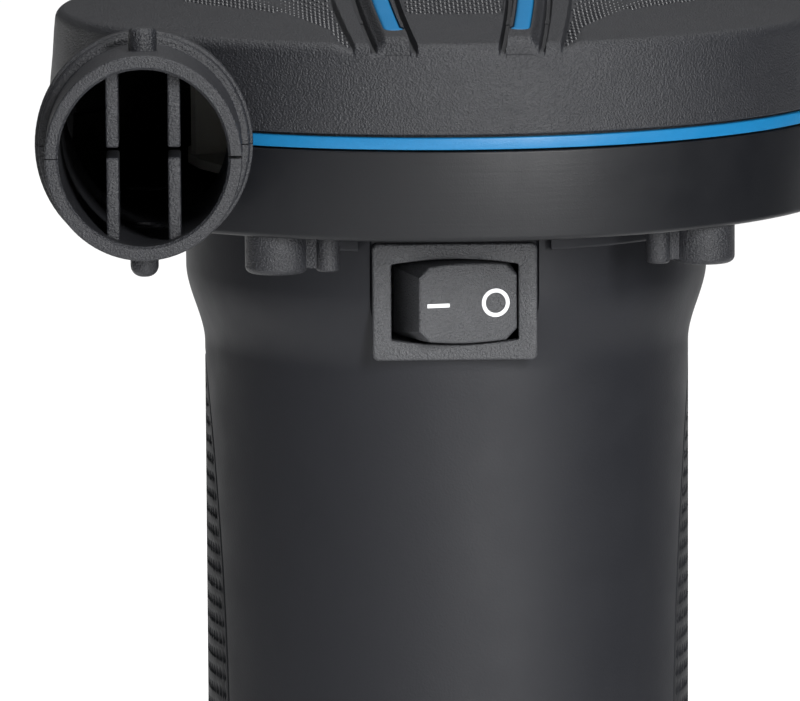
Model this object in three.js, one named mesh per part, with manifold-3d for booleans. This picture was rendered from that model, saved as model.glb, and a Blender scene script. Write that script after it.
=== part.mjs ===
// Handheld battery air pump: a round blower head with an outlet nozzle, on a cylindrical battery grip.
// Millimetres, +Z up. The origin is the centre of the base. -Y is the front (switch and outlet face it).
import * as THREE from 'three';
import { mergeVertices } from 'three/addons/utils/BufferGeometryUtils.js';
import { ConvexGeometry } from 'three/addons/geometries/ConvexGeometry.js';
import Module from 'manifold-3d';

const wasm = await Module();
wasm.setup();

// ---- Fits and facets ----
const GAP = 0.3;                 // clearance between two pieces that touch or run in each other
const PAST = 1;                  // how far a cutting solid runs past the face it opens
const FACETS_BIG = 48;
const FACETS_MEDIUM = 24;
const FACETS_SMALL = 10;

// ---- Driving sizes: grip ----
const BODY_HEIGHT = 150;         // floor to the underside of the head
const GRIP_RADIUS = 31.8;
const NECK_FLARE = 2.4;          // the neck is this much wider than the grip
const NECK_TOP = 9;              // below the head: where the flare reaches the neck radius
const NECK_BOTTOM = 19.5;        // below the head: where the flare leaves the grip
const BODY_WALL = 2.2;
const COLLAR_STEP = 1.8;         // the collar stands this far out from the neck
const COLLAR_HEIGHT = 3.4;
const COLLAR_START = -30;        // degrees from the front, towards +X
const COLLAR_END = 62;
const COLLAR_GAP = 1.8;          // the collar stops this far beside the switch
const PAD_DROP = 75;             // centre of the side grips, below the head
const PAD_HALF_HEIGHT = 54.5;
const PAD_HALF_ANGLE = 24;
const PAD_DEPTH = 0.9;
const PILLAR_RADIUS = 3.2;         // screw pillars in the neck and the head
const PILLAR_DEPTH = 16;
const PILOT_DEPTH = 13;
const BULKHEAD_THICK = 2;

// ---- Driving sizes: head ----
const HEAD_RADIUS = 51.9;
const HEAD_HEIGHT = 24.9;        // underside to rim
const LOWER_DRAFT = 0.5;
const UPPER_DRAFT = 1.0;
const LOWER_HEIGHT = 11.4;
const RING_GAP = 0.25;
const RING_HEIGHT = 1.5;
const RING_DEPTH = 0.9;
const RING_SET_BACK = 0.1;
const SHADOW_GAP = 0.35;         // dark line between the ring and the upper shell
const HEAD_WALL = 2;
const CEILING = 2.2;
const RIM_FILLET = 1.6;
const DOME_SLOPE = 10;           // degrees
const LAND_RADIUS = 17.5;        // flat ring around the intake

// ---- Driving sizes: outlet and intake ports ----
const PORT_RADIUS = 12.15;
const PORT_BORE = 10.45;
const PORT_PIN_RADIUS = 1.75;
const PORT_PIN_REACH = 15.5;
const SLEEVE_STEP = 1.45;        // the sleeve behind the port is this much thicker
const NOZZLE_INSET = 12.7;       // nozzle axis in from the head's edge
const NOZZLE_RISE = 12.5;        // nozzle axis above the underside of the head
const SLEEVE_SET_BACK = 0.9;     // sleeve's front behind the head's front
const SLEEVE_LENGTH = 3.5;
const NOZZLE_BACK = -8;
const NOZZLE_REACH = 13.1;       // nozzle's face in front of the head
const PIN_SET_BACK = 7;          // pins behind the nozzle's front face
const GUARD_OFFSET = 3.8;
const GUARD_THICK = 1.6;
const GUARD_SET_BACK = 3;
const GUARD_DEPTH = 8;
const GUARD_SPLIT = 1.2;
const INTAKE_RISE = 8;
const INTAKE_PIN_DROP = 4;
const LEDGE_DEPTH = 0.9;
const GRILLE_THICK = 2;

// ---- Driving sizes: screw bosses ----
const BOSS_COUNT = 5;
const BOSS_START = -29.2;        // degrees from the front
const BOSS_INSET = 3.4;          // boss centres in from the head's inner wall
const BOSS_RADIUS = 4;
const BOSS_HANG = 5;
const PEG_RADIUS = 1.5;
const PEG_INSET = 1.5;           // pegs in from the circle of the bosses
const PEG_STEP = 8;              // degrees from its boss
const WEB_THICK = 1.4;
const HEAD_SCREW_LENGTH = 12;
const HEAD_SCREW_RISE = 3;       // screw seat above the boss's end
const BODY_SCREW_LENGTH = 12;
const MOTOR_SCREW_LENGTH = 5;
const SCREW_RADIUS = 1.1;
const SCREW_HEAD_RADIUS = 2.3;
const SCREW_HEAD_HEIGHT = 1.6;

// ---- Driving sizes: arms on the dome ----
const ARM_HALF_SPACING = 8.1;    // at the rim
const ARM_BOW = 2.6;             // extra spacing beside the intake
const ARM_WIDTH = 4.2;
const ARM_RISE = 0.9;
const CHANNEL_SIDE = 0.6;
const CHANNEL_DEPTH = 1.1;
const ARM_INNER = 14;            // distance from the axis plane where the arms stop
const STRIP_INNER = 34;
const STRIP_OFFSET = 5.6;        // groove centre, outboard of the arm's centre
const STRIP_WIDTH = 2;
const INSERT_WIDTH = 2.1;
const INSERT_OFFSET = -0.4;      // towards the gap between the arms
const INSERT_DEPTH = 1.2;
const INSERT_INNER_END = 19;     // distance from the axis where the inserts stop
const INSERT_RIM_INSET = 0.4;

// ---- Driving sizes: switch ----
const SWITCH_WIDTH = 21;
const SWITCH_HEIGHT = 15;
const SWITCH_DROP = 2.5;
const SWITCH_PROUD = 1.7;        // bezel's face in front of the grip
const BEZEL_THICK = 1.2;
const HOUSING_HALF_WIDTH = 9.6;
const HOUSING_HALF_HEIGHT = 6.3;
const HOUSING_DEPTH = 11.8;
const HOUSING_WALL = 0.9;
const OPENING_HALF_WIDTH = 8.1;
const OPENING_HALF_HEIGHT = 4.85;
const OPENING_BOW = 0.65;
const ROCKER_PIVOT = 6.6;        // pivot behind the bezel's face
const ROCKER_TILT = 12;          // degrees, off position
const ROCKER_FACE_HALF = 6.45;
const ROCKER_REACH = 8;          // pivot to the rocker's face
const ROCKER_HALF_HEIGHT = 5.15;
const ROCKER_SHOULDER = 1.5;     // pivot to the widest part of the rocker
const ROCKER_SHOULDER_HALF = 8.2;
const TRUNNION_RADIUS = 1;
const TERMINAL_SPACING = 10;
const TERMINAL_HALF_WIDTH = 2.4;
const TERMINAL_HALF_THICK = 0.4;
const TERMINAL_REACH = 5;
const TERMINAL_LENGTH = 7.2;
const SEAT_INSET = 0.3;          // the bezel overlaps its seat by this much

// ---- Driving sizes: power unit ----
const CELL_RADIUS = 13;
const CELL_LENGTH = 49.2;
const NUB_RADIUS = 3.2;
const NUB_HEIGHT = 1.6;
const CELL_GAP = 0.5;            // between neighbouring cells
const CELL_COUNT = 3;            // in each of two layers
const CONTACT_THICK = 0.6;
const SPRING_HEIGHT = 4.1;
const MOTOR_RADIUS = 13.85;
const MOTOR_LENGTH = 37.4;
const MOTOR_SHELL = 0.9;
const SHAFT_RADIUS = 1.15;
const BEARING_RADIUS = 3;
const END_CAP_HEIGHT = 2.8;
const DISC_THICK = 1.2;
const HUB_HEIGHT = 11;
const BLADE_HEIGHT = 14.5;
const IMPELLER_RADIUS = 34;
const BLADE_COUNT = 9;
const SCROLL_CLEARANCE = 2.6;    // impeller to the scroll wall at the tongue
const SCROLL_END_INSET = 7.5;    // scroll's end in from the head's inner wall
const SCROLL_START = 227;        // degrees from +X, anticlockwise, at the tongue
const SCROLL_TURN = 313;
const SCROLL_WALL = 1.6;
const LEAD_RADIUS = 0.8;
const LEAD_HOLES = [[12, -20], [15, 12]];
const BODY_SCREW_INSET = 5;      // body screws in from the neck's surface
const BODY_SCREW_ANGLES = [60, 180, 300];
const MOTOR_SCREW_X = 8;

// ---- Driving sizes: battery cap ----
const CAP_WALL = 3.1;
const CAP_HEIGHT = 14;
const CAP_FLOOR = 2.3;
const CAP_FILLET = 2;
const FLUTE_COUNT = 18;
const LUG_RADIUS = 1.3;
const LUG_HEIGHT = 8.6;
const LUG_REACH = 1.5;
const CAP_TURN = 45;
const SEAL_HEIGHT = 2;

// ---- Levels worked out from the sizes above ----
const NECK_RADIUS = GRIP_RADIUS + NECK_FLARE;
const COLLAR_RADIUS = NECK_RADIUS + COLLAR_STEP;
const CAP_RADIUS = GRIP_RADIUS + GAP + CAP_WALL;
const SWITCH_FACE = -GRIP_RADIUS - SWITCH_PROUD;
const BODY_SCREW_CIRCLE = NECK_RADIUS - BODY_SCREW_INSET;
const CHAMBER_RADIUS = HEAD_RADIUS - HEAD_WALL;
const BOSS_CIRCLE = CHAMBER_RADIUS - BOSS_INSET;
const PEG_CIRCLE = BOSS_CIRCLE - PEG_INSET;
const SCROLL_START_RADIUS = IMPELLER_RADIUS + SCROLL_CLEARANCE;
const SCROLL_END_RADIUS = CHAMBER_RADIUS - SCROLL_END_INSET;
const CELL_CIRCLE = (CELL_RADIUS + CELL_GAP / 2) / Math.sin(Math.PI / CELL_COUNT);
const NOZZLE_X = NOZZLE_INSET - HEAD_RADIUS;
const NOZZLE_FRONT = -HEAD_RADIUS - NOZZLE_REACH;
const SLEEVE_FRONT = SLEEVE_SET_BACK - HEAD_RADIUS;
const SLEEVE_BACK = SLEEVE_FRONT + SLEEVE_LENGTH;
const SLEEVE_RADIUS = PORT_RADIUS + SLEEVE_STEP;
const HEAD_BASE = BODY_HEIGHT;
const LOWER_TOP = HEAD_BASE + LOWER_HEIGHT;
const RING_BOTTOM = LOWER_TOP + RING_GAP;
const RING_TOP = RING_BOTTOM + RING_HEIGHT;
const UPPER_BOTTOM = RING_TOP + SHADOW_GAP;
const RIM_TOP = HEAD_BASE + HEAD_HEIGHT;
const FLOOR_TOP = HEAD_BASE + HEAD_WALL;
const NOZZLE_Z = HEAD_BASE + NOZZLE_RISE;
const NOZZLE_SPAN = [NOZZLE_X - PORT_PIN_REACH, NOZZLE_X + PORT_PIN_REACH];
const DOME_START = HEAD_RADIUS - UPPER_DRAFT - RIM_FILLET;
const DOME_TOP = RIM_TOP + (DOME_START - LAND_RADIUS) * Math.tan(THREE.MathUtils.degToRad(DOME_SLOPE));
const SWITCH_Z = HEAD_BASE - SWITCH_DROP - SWITCH_HEIGHT / 2;
const PAD_FACE = SWITCH_FACE + BEZEL_THICK + GAP;
const PIVOT_Y = SWITCH_FACE + ROCKER_PIVOT;
const BODY_BORE = GRIP_RADIUS - BODY_WALL;
const SEAL_BOTTOM = CAP_FLOOR + GAP;
const BODY_BOTTOM = SEAL_BOTTOM + SEAL_HEIGHT + GAP;
const CAP_CONTACT_TOP = CAP_FLOOR + GAP + CONTACT_THICK;
const SPRING_BOTTOM = CAP_CONTACT_TOP + GAP;
const CELL_BOTTOM = SPRING_BOTTOM + SPRING_HEIGHT + GAP;
const CELL_STACK_TOP = CELL_BOTTOM + 2 * CELL_LENGTH + GAP;
const UPPER_CONTACT_BOTTOM = CELL_STACK_TOP + GAP;
const BULKHEAD_BOTTOM = UPPER_CONTACT_BOTTOM + CONTACT_THICK + GAP;
const BULKHEAD_TOP = BULKHEAD_BOTTOM + BULKHEAD_THICK;
const MOTOR_TOP = HEAD_BASE - GAP;
const MOTOR_BOTTOM = MOTOR_TOP - MOTOR_LENGTH;
const CAN_BOTTOM = MOTOR_BOTTOM + END_CAP_HEIGHT + GAP;
const DISC_BOTTOM = FLOOR_TOP + SCREW_HEAD_HEIGHT + PAST;
const DISC_TOP = DISC_BOTTOM + DISC_THICK;
const HUB_TOP = DISC_TOP + HUB_HEIGHT;
const BLADE_TOP = DISC_TOP + BLADE_HEIGHT;
const HEAD_SCREW_SEAT = HEAD_BASE - BOSS_HANG + HEAD_SCREW_RISE;
const RIM_REACH = HEAD_RADIUS + PAST;
const INTAKE_LEDGE = DOME_TOP - LEDGE_DEPTH;
const INTAKE_TOP = DOME_TOP + INTAKE_RISE;
const TERMINAL_BACK = SWITCH_FACE + BEZEL_THICK + HOUSING_DEPTH + TERMINAL_REACH;

// ---- Materials ----
const plastic = (color, roughness) => new THREE.MeshStandardMaterial({ color, roughness, metalness: 0 });
const metal = (color, roughness) => new THREE.MeshStandardMaterial({ color, roughness, metalness: 1 });
const CHARCOAL = () => plastic(0x333538, 0.55);
const SATIN = () => plastic(0x2b2d30, 0.4);
const BLUE = () => plastic(0x2f8fd0, 0.4);
const RUBBER = () => plastic(0x1c1d1e, 0.85);
const STEEL = () => metal(0xb8bcc0, 0.35);
const BRASS = () => metal(0xc9a24a, 0.35);
const COPPER = () => metal(0xb56a3c, 0.4);

// ---- Solids ----
const radians = (degrees) => THREE.MathUtils.degToRad(degrees);

// A point at a radius and an angle from the front, towards +X.
function around(radius, degrees) {
  return [radius * Math.sin(radians(degrees)), -radius * Math.cos(radians(degrees))];
}

// Turns a closed three.js geometry into a solid whose faces point out.
function asSolid(geometry) {
  const bare = geometry.clone();
  bare.deleteAttribute('normal');
  bare.deleteAttribute('uv');
  const merged = mergeVertices(bare, 1e-4);
  const points = merged.attributes.position.array;
  const corners = Array.from(merged.index.array);
  const faces = [];
  let volume = 0;
  for (let i = 0; i < corners.length; i += 3) {
    const [a, b, c] = corners.slice(i, i + 3);
    if (a === b || b === c || c === a) continue;
    faces.push([a, b, c]);
    const [p, q, r] = [a, b, c].map((k) => new THREE.Vector3().fromArray(points, 3 * k));
    volume += p.dot(q.cross(r));
  }
  const triVerts = new Uint32Array(faces.flatMap(([a, b, c]) => (volume > 0 ? [a, b, c] : [a, c, b])));
  return new wasm.Manifold(new wasm.Mesh({ numProp: 3, vertProperties: new Float32Array(points), triVerts }));
}

function asGeometry(solid) {
  const mesh = solid.getMesh();
  const geometry = new THREE.BufferGeometry();
  geometry.setAttribute('position', new THREE.BufferAttribute(new Float32Array(mesh.vertProperties), 3));
  geometry.setIndex(new THREE.BufferAttribute(new Uint32Array(mesh.triVerts), 1));
  return geometry;
}

const join = (solids) => solids.reduce((sum, solid) => sum.add(solid));
const cut = (solid, cutters) => cutters.reduce((rest, cutter) => rest.subtract(cutter), solid);
const ring = (count, start = 0) => Array.from({ length: count }, (_, i) => start + (360 * i) / count);
const outline = (points) => new THREE.Shape(points.map(([x, y]) => new THREE.Vector2(x, y)));

// A profile of [radius, height] points turned about the Z axis.
function turned(profile, facets = FACETS_BIG) {
  const points = profile.map(([radius, height]) => new THREE.Vector2(radius, height));
  return asSolid(new THREE.LatheGeometry(points, facets).rotateX(Math.PI / 2));
}

function tubeProfile(inner, outer, bottom, top) {
  return [[inner, bottom], [outer, bottom], [outer, top], [inner, top], [inner, bottom]];
}

function hollow(inner, outer, bottom, top, facets) {
  return turned(tubeProfile(inner, outer, bottom, top), facets);
}

// A profile of [radius, y] points turned about a line along Y through the nozzle's axis.
function turnedNozzle(profile, facets = FACETS_MEDIUM + 8) {
  const points = profile.map(([radius, y]) => new THREE.Vector2(radius, y));
  return asSolid(new THREE.LatheGeometry(points, facets).translate(NOZZLE_X, 0, NOZZLE_Z));
}

function prism(points, bottom, top) {
  const options = { depth: top - bottom, bevelEnabled: false };
  return asSolid(new THREE.ExtrudeGeometry(outline(points), options).translate(0, 0, bottom));
}

// An outline of [x, z] points, extruded forwards from one y to another.
function prismForward(points, back, front) {
  const options = { depth: back - front, bevelEnabled: false };
  const geometry = new THREE.ExtrudeGeometry(outline(points), options);
  return asSolid(geometry.rotateX(Math.PI / 2).translate(0, back, 0));
}

// An outline of [y, z] points, extruded along +X.
function prismSideways(points, from, to) {
  const options = { depth: to - from, bevelEnabled: false };
  const turn = new THREE.Matrix4().makeBasis(
    new THREE.Vector3(0, 1, 0), new THREE.Vector3(0, 0, 1), new THREE.Vector3(1, 0, 0));
  const geometry = new THREE.ExtrudeGeometry(outline(points), options);
  return asSolid(geometry.applyMatrix4(turn).translate(from, 0, 0));
}

function block([x0, x1], [y0, y1], [z0, z1]) {
  const geometry = new THREE.BoxGeometry(x1 - x0, y1 - y0, z1 - z0);
  return asSolid(geometry.translate((x0 + x1) / 2, (y0 + y1) / 2, (z0 + z1) / 2));
}

function post([x, y], radius, bottom, top, facets = FACETS_SMALL) {
  const geometry = new THREE.CylinderGeometry(radius, radius, top - bottom, facets);
  return asSolid(geometry.rotateX(Math.PI / 2).translate(x, y, (bottom + top) / 2));
}

// A ring sector between two angles from the front.
function sector(inner, outer, from, to, bottom, top) {
  const steps = Math.max(2, Math.ceil(Math.abs(to - from) / 12));
  const angles = Array.from({ length: steps + 1 }, (_, i) => from + ((to - from) * i) / steps);
  const far = angles.map((angle) => around(outer, angle));
  const near = angles.map((angle) => around(inner, angle)).reverse();
  return prism([...far, ...near], bottom, top);
}

// A strip of one width along a path of [x, y] points.
function ribbonOutline(path, width) {
  const side = (sign) => path.map(([x, y], i) => {
    const [ax, ay] = path[Math.max(i - 1, 0)];
    const [bx, by] = path[Math.min(i + 1, path.length - 1)];
    const length = Math.hypot(bx - ax, by - ay);
    return [x - (sign * width * (by - ay)) / (2 * length), y + (sign * width * (bx - ax)) / (2 * length)];
  });
  return [...side(-1), ...side(1).reverse()];
}

function ellipse(halfWidth, halfHeight, centre, steps = 24) {
  return ring(steps).map((angle) => [
    halfWidth * Math.cos(radians(angle)), centre + halfHeight * Math.sin(radians(angle))]);
}

function wire(points, radius, sides, steps) {
  const path = new THREE.CatmullRomCurve3(points.map(([x, y, z]) => new THREE.Vector3(x, y, z)));
  const section = outline(ring(sides).map((angle) => [
    radius * Math.cos(radians(angle)), radius * Math.sin(radians(angle))]));
  return asSolid(new THREE.ExtrudeGeometry(section, { steps, extrudePath: path, bevelEnabled: false }));
}

// ---- Assembly ----
const pump = new THREE.Group();

function place(name, shape, material, [x, y, z] = [0, 0, 0], turn = 0) {
  const mesh = new THREE.Mesh(shape.isBufferGeometry ? shape : asGeometry(shape), material);
  mesh.name = name;
  mesh.position.set(x, y, z);
  mesh.rotation.z = radians(turn);
  pump.add(mesh);
}

// ---- Grip body ----
// The radius of the flared neck, shrunk by an inset, at points from its bottom to its top.
function neckCurve(inset) {
  const steps = 6;
  return Array.from({ length: steps + 1 }, (_, i) => {
    const share = i / steps;
    const ease = share * share * (3 - 2 * share);
    const drop = NECK_BOTTOM + (NECK_TOP - NECK_BOTTOM) * share;
    return [GRIP_RADIUS + (NECK_RADIUS - GRIP_RADIUS) * ease - inset, HEAD_BASE - drop];
  });
}

function padWindow(clearance) {
  const halfWidth = GRIP_RADIUS * Math.sin(radians(PAD_HALF_ANGLE)) + clearance;
  return ellipse(halfWidth, PAD_HALF_HEIGHT + clearance, HEAD_BASE - PAD_DROP);
}

function gripPad(side) {
  const skin = hollow(GRIP_RADIUS - PAD_DEPTH, GRIP_RADIUS, BODY_BOTTOM, HEAD_BASE, FACETS_BIG);
  const reach = side * (GRIP_RADIUS + PAST);
  return skin.intersect(prismSideways(padWindow(0), Math.min(0, reach), Math.max(0, reach)));
}

function switchPocket() {
  const side = SWITCH_WIDTH / 2 + GAP;
  const low = SWITCH_Z - SWITCH_HEIGHT / 2 - GAP;
  const seat = SWITCH_WIDTH / 2 - SEAT_INSET;
  const window = [SWITCH_Z - HOUSING_HALF_HEIGHT - GAP, SWITCH_Z + HOUSING_HALF_HEIGHT + GAP];
  const windowSide = HOUSING_HALF_WIDTH + GAP;
  return {
    seat: block([-seat, seat], [PAD_FACE, PAD_FACE + 2 * BODY_WALL], [low + GAP + SEAT_INSET, MOTOR_TOP]),
    recess: block([-side, side], [-COLLAR_RADIUS - PAST, PAD_FACE], [low, HEAD_BASE + PAST]),
    window: block([-windowSide, windowSide], [-NECK_RADIUS, -NECK_RADIUS / 2], window),
  };
}

function bodyShell() {
  const top = HEAD_BASE - GAP;
  const outer = turned([[0, BODY_BOTTOM], [GRIP_RADIUS, BODY_BOTTOM], ...neckCurve(0),
    [NECK_RADIUS, top], [0, top]]);
  const bore = turned([[0, BODY_BOTTOM - PAST], [BODY_BORE, BODY_BOTTOM - PAST], ...neckCurve(BODY_WALL),
    [NECK_RADIUS - BODY_WALL, HEAD_BASE + PAST], [0, HEAD_BASE + PAST]]);
  const bulkhead = turned([[0, BULKHEAD_BOTTOM], [BODY_BORE + 1, BULKHEAD_BOTTOM],
    [BODY_BORE + 1, BULKHEAD_TOP], [0, BULKHEAD_TOP]]);
  const collarBottom = HEAD_BASE - COLLAR_HEIGHT;
  const notchHalf = SWITCH_WIDTH / 2 + COLLAR_GAP;
  const collar = sector(NECK_RADIUS - 1, COLLAR_RADIUS, COLLAR_START, COLLAR_END, collarBottom, top)
    .subtract(block([-notchHalf, notchHalf], [-COLLAR_RADIUS - PAST, 0], [collarBottom - PAST, top + PAST]));
  const pocket = switchPocket();
  const pillars = BODY_SCREW_ANGLES.map((angle) => (
    post(around(BODY_SCREW_CIRCLE, angle), PILLAR_RADIUS, HEAD_BASE - PILLAR_DEPTH, top)));
  const pilots = BODY_SCREW_ANGLES.map((angle) => (
    post(around(BODY_SCREW_CIRCLE, angle), SCREW_RADIUS + GAP, HEAD_BASE - PILOT_DEPTH, HEAD_BASE + PAST)));
  const lugs = ring(3, 60).map((angle) => {
    const peg = new THREE.CylinderGeometry(LUG_RADIUS, LUG_RADIUS, LUG_REACH + 1, FACETS_SMALL);
    const [x, y] = around(GRIP_RADIUS + (LUG_REACH - 1) / 2, angle);
    return asSolid(peg.rotateZ(radians(angle)).translate(x, y, LUG_HEIGHT));
  });
  const pads = [-1, 1].map((side) => {
    const skin = hollow(GRIP_RADIUS - PAD_DEPTH - GAP, NECK_RADIUS, BODY_BOTTOM - PAST, HEAD_BASE);
    const reach = side * (NECK_RADIUS + PAST);
    return skin.intersect(prismSideways(padWindow(GAP), Math.min(0, reach), Math.max(0, reach)));
  });
  const leadHoles = LEAD_HOLES.map((spot) => (
    post(spot, LEAD_RADIUS + 2 * GAP, BULKHEAD_BOTTOM - PAST, BULKHEAD_TOP + PAST)));
  const shell = join([cut(join([outer, collar]), [bore]), bulkhead, ...pillars, ...lugs, pocket.seat]);
  return cut(shell, [pocket.recess, pocket.window, ...pilots, ...pads, ...leadHoles]);
}

// ---- Leads ----
function leads() {
  const [near, far] = LEAD_HOLES;
  const half = TERMINAL_SPACING / 2;
  const start = TERMINAL_BACK + 3 * GAP;
  const low = BULKHEAD_TOP + GAP;
  const side = MOTOR_BOTTOM + END_CAP_HEIGHT / 2;
  place('switch_motor_lead', wire([[-half, start, SWITCH_Z], [-half - 2, start - 0.8, SWITCH_Z - 3],
    [-14, -17.5, SWITCH_Z - 12], [-14.5, -14, side + 5], [-11.4, -10.2, side]],
  LEAD_RADIUS, 6, 14), RUBBER());
  place('battery_switch_lead', wire([[near[0], near[1], low], [near[0], near[1], low + 8],
    [near[0], near[1] + 2, SWITCH_Z - 12], [half + 1.6, start - 0.6, SWITCH_Z - 3],
    [half, start, SWITCH_Z]], LEAD_RADIUS, 6, 14), RUBBER());
  place('battery_motor_lead', wire([[far[0], far[1], low], [far[0] - 0.3, far[1] - 0.3, low + 2],
    [far[0] - 2.8, far[1] - 2.6, side]], LEAD_RADIUS, 6, 6), RUBBER());
}

// ---- Head: shells, ring, arms ----
// The outline of the upper shell's outside from the wall's top to the axis, raised by a lift.
function domeProfile(lift, setBack = 0) {
  const radius = HEAD_RADIUS - UPPER_DRAFT - setBack;
  const arc = [0, 30, 60, 90].map((angle) => [
    radius - RIM_FILLET * (1 - Math.cos(radians(angle))),
    RIM_TOP + lift - RIM_FILLET * (1 - Math.sin(radians(angle)))]);
  return [...arc, [LAND_RADIUS, DOME_TOP + lift], [0, DOME_TOP + lift]];
}

function headBlank(lift, setBack = 0) {
  return turned([[0, LOWER_TOP], [HEAD_RADIUS - setBack, LOWER_TOP],
    [HEAD_RADIUS - setBack, UPPER_BOTTOM], ...domeProfile(lift, setBack)]);
}

function nozzleSolid(clearance) {
  const sleeve = SLEEVE_RADIUS + clearance;
  const port = PORT_RADIUS + clearance;
  return turnedNozzle([[0, NOZZLE_BACK + clearance], [port, NOZZLE_BACK + clearance],
    [port, SLEEVE_BACK + clearance], [sleeve, SLEEVE_BACK + clearance], [sleeve, SLEEVE_FRONT],
    [port, SLEEVE_FRONT], [port, NOZZLE_FRONT], [0, NOZZLE_FRONT]]);
}

const nozzleBore = () => turnedNozzle([[0, NOZZLE_BACK - PAST], [PORT_BORE, NOZZLE_BACK - PAST],
  [PORT_BORE, NOZZLE_FRONT - PAST], [0, NOZZLE_FRONT - PAST]]);

// One half of the nozzle: side is 1 for the upper half and -1 for the lower half.
function nozzleHalf(side) {
  const split = NOZZLE_Z + (side * GAP) / 2;
  const far = NOZZLE_Z + side * (PORT_PIN_REACH + PAST);
  const range = [Math.min(split, far), Math.max(split, far)];
  const half = block(NOZZLE_SPAN, [NOZZLE_FRONT - PAST, 0], range);
  const pinY = NOZZLE_FRONT + PIN_SET_BACK;
  const ends = [NOZZLE_Z + side * (PORT_BORE + 1), NOZZLE_Z + side * PORT_PIN_REACH];
  const pin = post([NOZZLE_X, pinY], PORT_PIN_RADIUS, Math.min(...ends), Math.max(...ends));
  return nozzleSolid(0).intersect(half).add(pin);
}

// The two upright finger guards inside one half of the nozzle.
function guards(side) {
  const inner = NOZZLE_Z + (side > 0 ? GUARD_SPLIT : -GAP);
  const front = NOZZLE_FRONT + GUARD_SET_BACK;
  const far = NOZZLE_Z + side * (PORT_BORE + 1);
  const core = turnedNozzle([[0, front + GUARD_DEPTH], [PORT_BORE + 0.8, front + GUARD_DEPTH],
    [PORT_BORE + 0.8, front], [0, front]]);
  return [-1, 1].map((hand) => {
    const x = NOZZLE_X + hand * GUARD_OFFSET;
    const sides = [x - GUARD_THICK / 2, x + GUARD_THICK / 2];
    const range = [Math.min(inner, far), Math.max(inner, far)];
    return core.intersect(block(sides, [front, front + GUARD_DEPTH], range));
  });
}

// The scroll wall: a tongue beside the outlet, then a spiral that opens towards it.
function scrollOutline() {
  const steps = 18;
  const spiral = Array.from({ length: steps + 1 }, (_, i) => {
    const radius = SCROLL_START_RADIUS + ((SCROLL_END_RADIUS - SCROLL_START_RADIUS) * i) / steps;
    const angle = radians(SCROLL_START + (SCROLL_TURN * i) / steps);
    return [radius * Math.cos(angle), radius * Math.sin(angle)];
  });
  const tongueX = NOZZLE_X + PORT_BORE + SCROLL_WALL / 2 + GAP;
  const rootY = -Math.sqrt(CHAMBER_RADIUS ** 2 - tongueX ** 2) - 0.8;
  const leadOut = [-CHAMBER_RADIUS - 0.4, NOZZLE_BACK - PAST];
  return ribbonOutline([[tongueX, rootY], [tongueX + 0.8, rootY + 9], ...spiral, leadOut], SCROLL_WALL);
}

const bossAngles = ring(BOSS_COUNT, BOSS_START);

function boss(angle) {
  const centre = around(BOSS_CIRCLE, angle);
  const pegAngle = angle - Math.sign(Math.sin(radians(angle))) * PEG_STEP;
  const peg = around(PEG_CIRCLE, pegAngle);
  const low = HEAD_BASE - BOSS_HANG;
  const inFloor = HEAD_BASE + 0.5;
  return join([
    post(centre, BOSS_RADIUS, low, inFloor, 16),
    post(peg, PEG_RADIUS, low + GAP, inFloor),
    prism(ribbonOutline([centre, peg], WEB_THICK), low + 2 * GAP, inFloor),
  ]);
}

function lowerVolute() {
  const foot = HEAD_RADIUS - LOWER_DRAFT;
  const outer = turned([[0, HEAD_BASE], [foot - 0.5, HEAD_BASE], [foot, HEAD_BASE + 0.5],
    [HEAD_RADIUS, LOWER_TOP], [0, LOWER_TOP]]);
  const chamber = turned([[0, FLOOR_TOP], [CHAMBER_RADIUS, FLOOR_TOP], [CHAMBER_RADIUS, LOWER_TOP + PAST],
    [0, LOWER_TOP + PAST]]);
  const neckRoom = post([0, 0], COLLAR_RADIUS + GAP, HEAD_BASE - PORT_PIN_REACH, HEAD_BASE, FACETS_BIG);
  const nozzle = nozzleHalf(-1).subtract(neckRoom);
  const scroll = prism(scrollOutline(), HEAD_BASE + 1, LOWER_TOP);
  const headRoom = BODY_SCREW_ANGLES.map((angle) => post(around(BODY_SCREW_CIRCLE, angle),
    SCREW_HEAD_RADIUS + GAP, FLOOR_TOP, FLOOR_TOP + SCREW_HEAD_HEIGHT + 2 * GAP));
  const shell = join([cut(join([outer, nozzle]), [chamber, nozzleBore()]), ...guards(-1),
    cut(scroll, [nozzleBore(), ...headRoom]), ...bossAngles.map(boss)]);
  const through = (spot, radius) => post(spot, radius, HEAD_BASE - BOSS_HANG - PAST, FLOOR_TOP + PAST);
  const floorHoles = [[0, 0, BEARING_RADIUS + GAP], [MOTOR_SCREW_X, 0, SCREW_RADIUS + 2 * GAP],
    [-MOTOR_SCREW_X, 0, SCREW_RADIUS + 2 * GAP]].map(([x, y, radius]) => through([x, y], radius));
  const bodyHoles = BODY_SCREW_ANGLES.map((angle) => (
    through(around(BODY_SCREW_CIRCLE, angle), SCREW_RADIUS + GAP)));
  const bossHoles = bossAngles.flatMap((angle) => {
    const centre = around(BOSS_CIRCLE, angle);
    return [through(centre, SCREW_RADIUS + GAP),
      post(centre, SCREW_HEAD_RADIUS + GAP, HEAD_BASE - BOSS_HANG - PAST, HEAD_SCREW_SEAT, 12)];
  });
  return cut(shell, [...floorHoles, ...bodyHoles, ...bossHoles]);
}

function accentRing() {
  const outer = HEAD_RADIUS - RING_SET_BACK;
  const band = hollow(outer - RING_DEPTH, outer, RING_BOTTOM, RING_TOP);
  return band.subtract(nozzleSolid(GAP));
}

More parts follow.
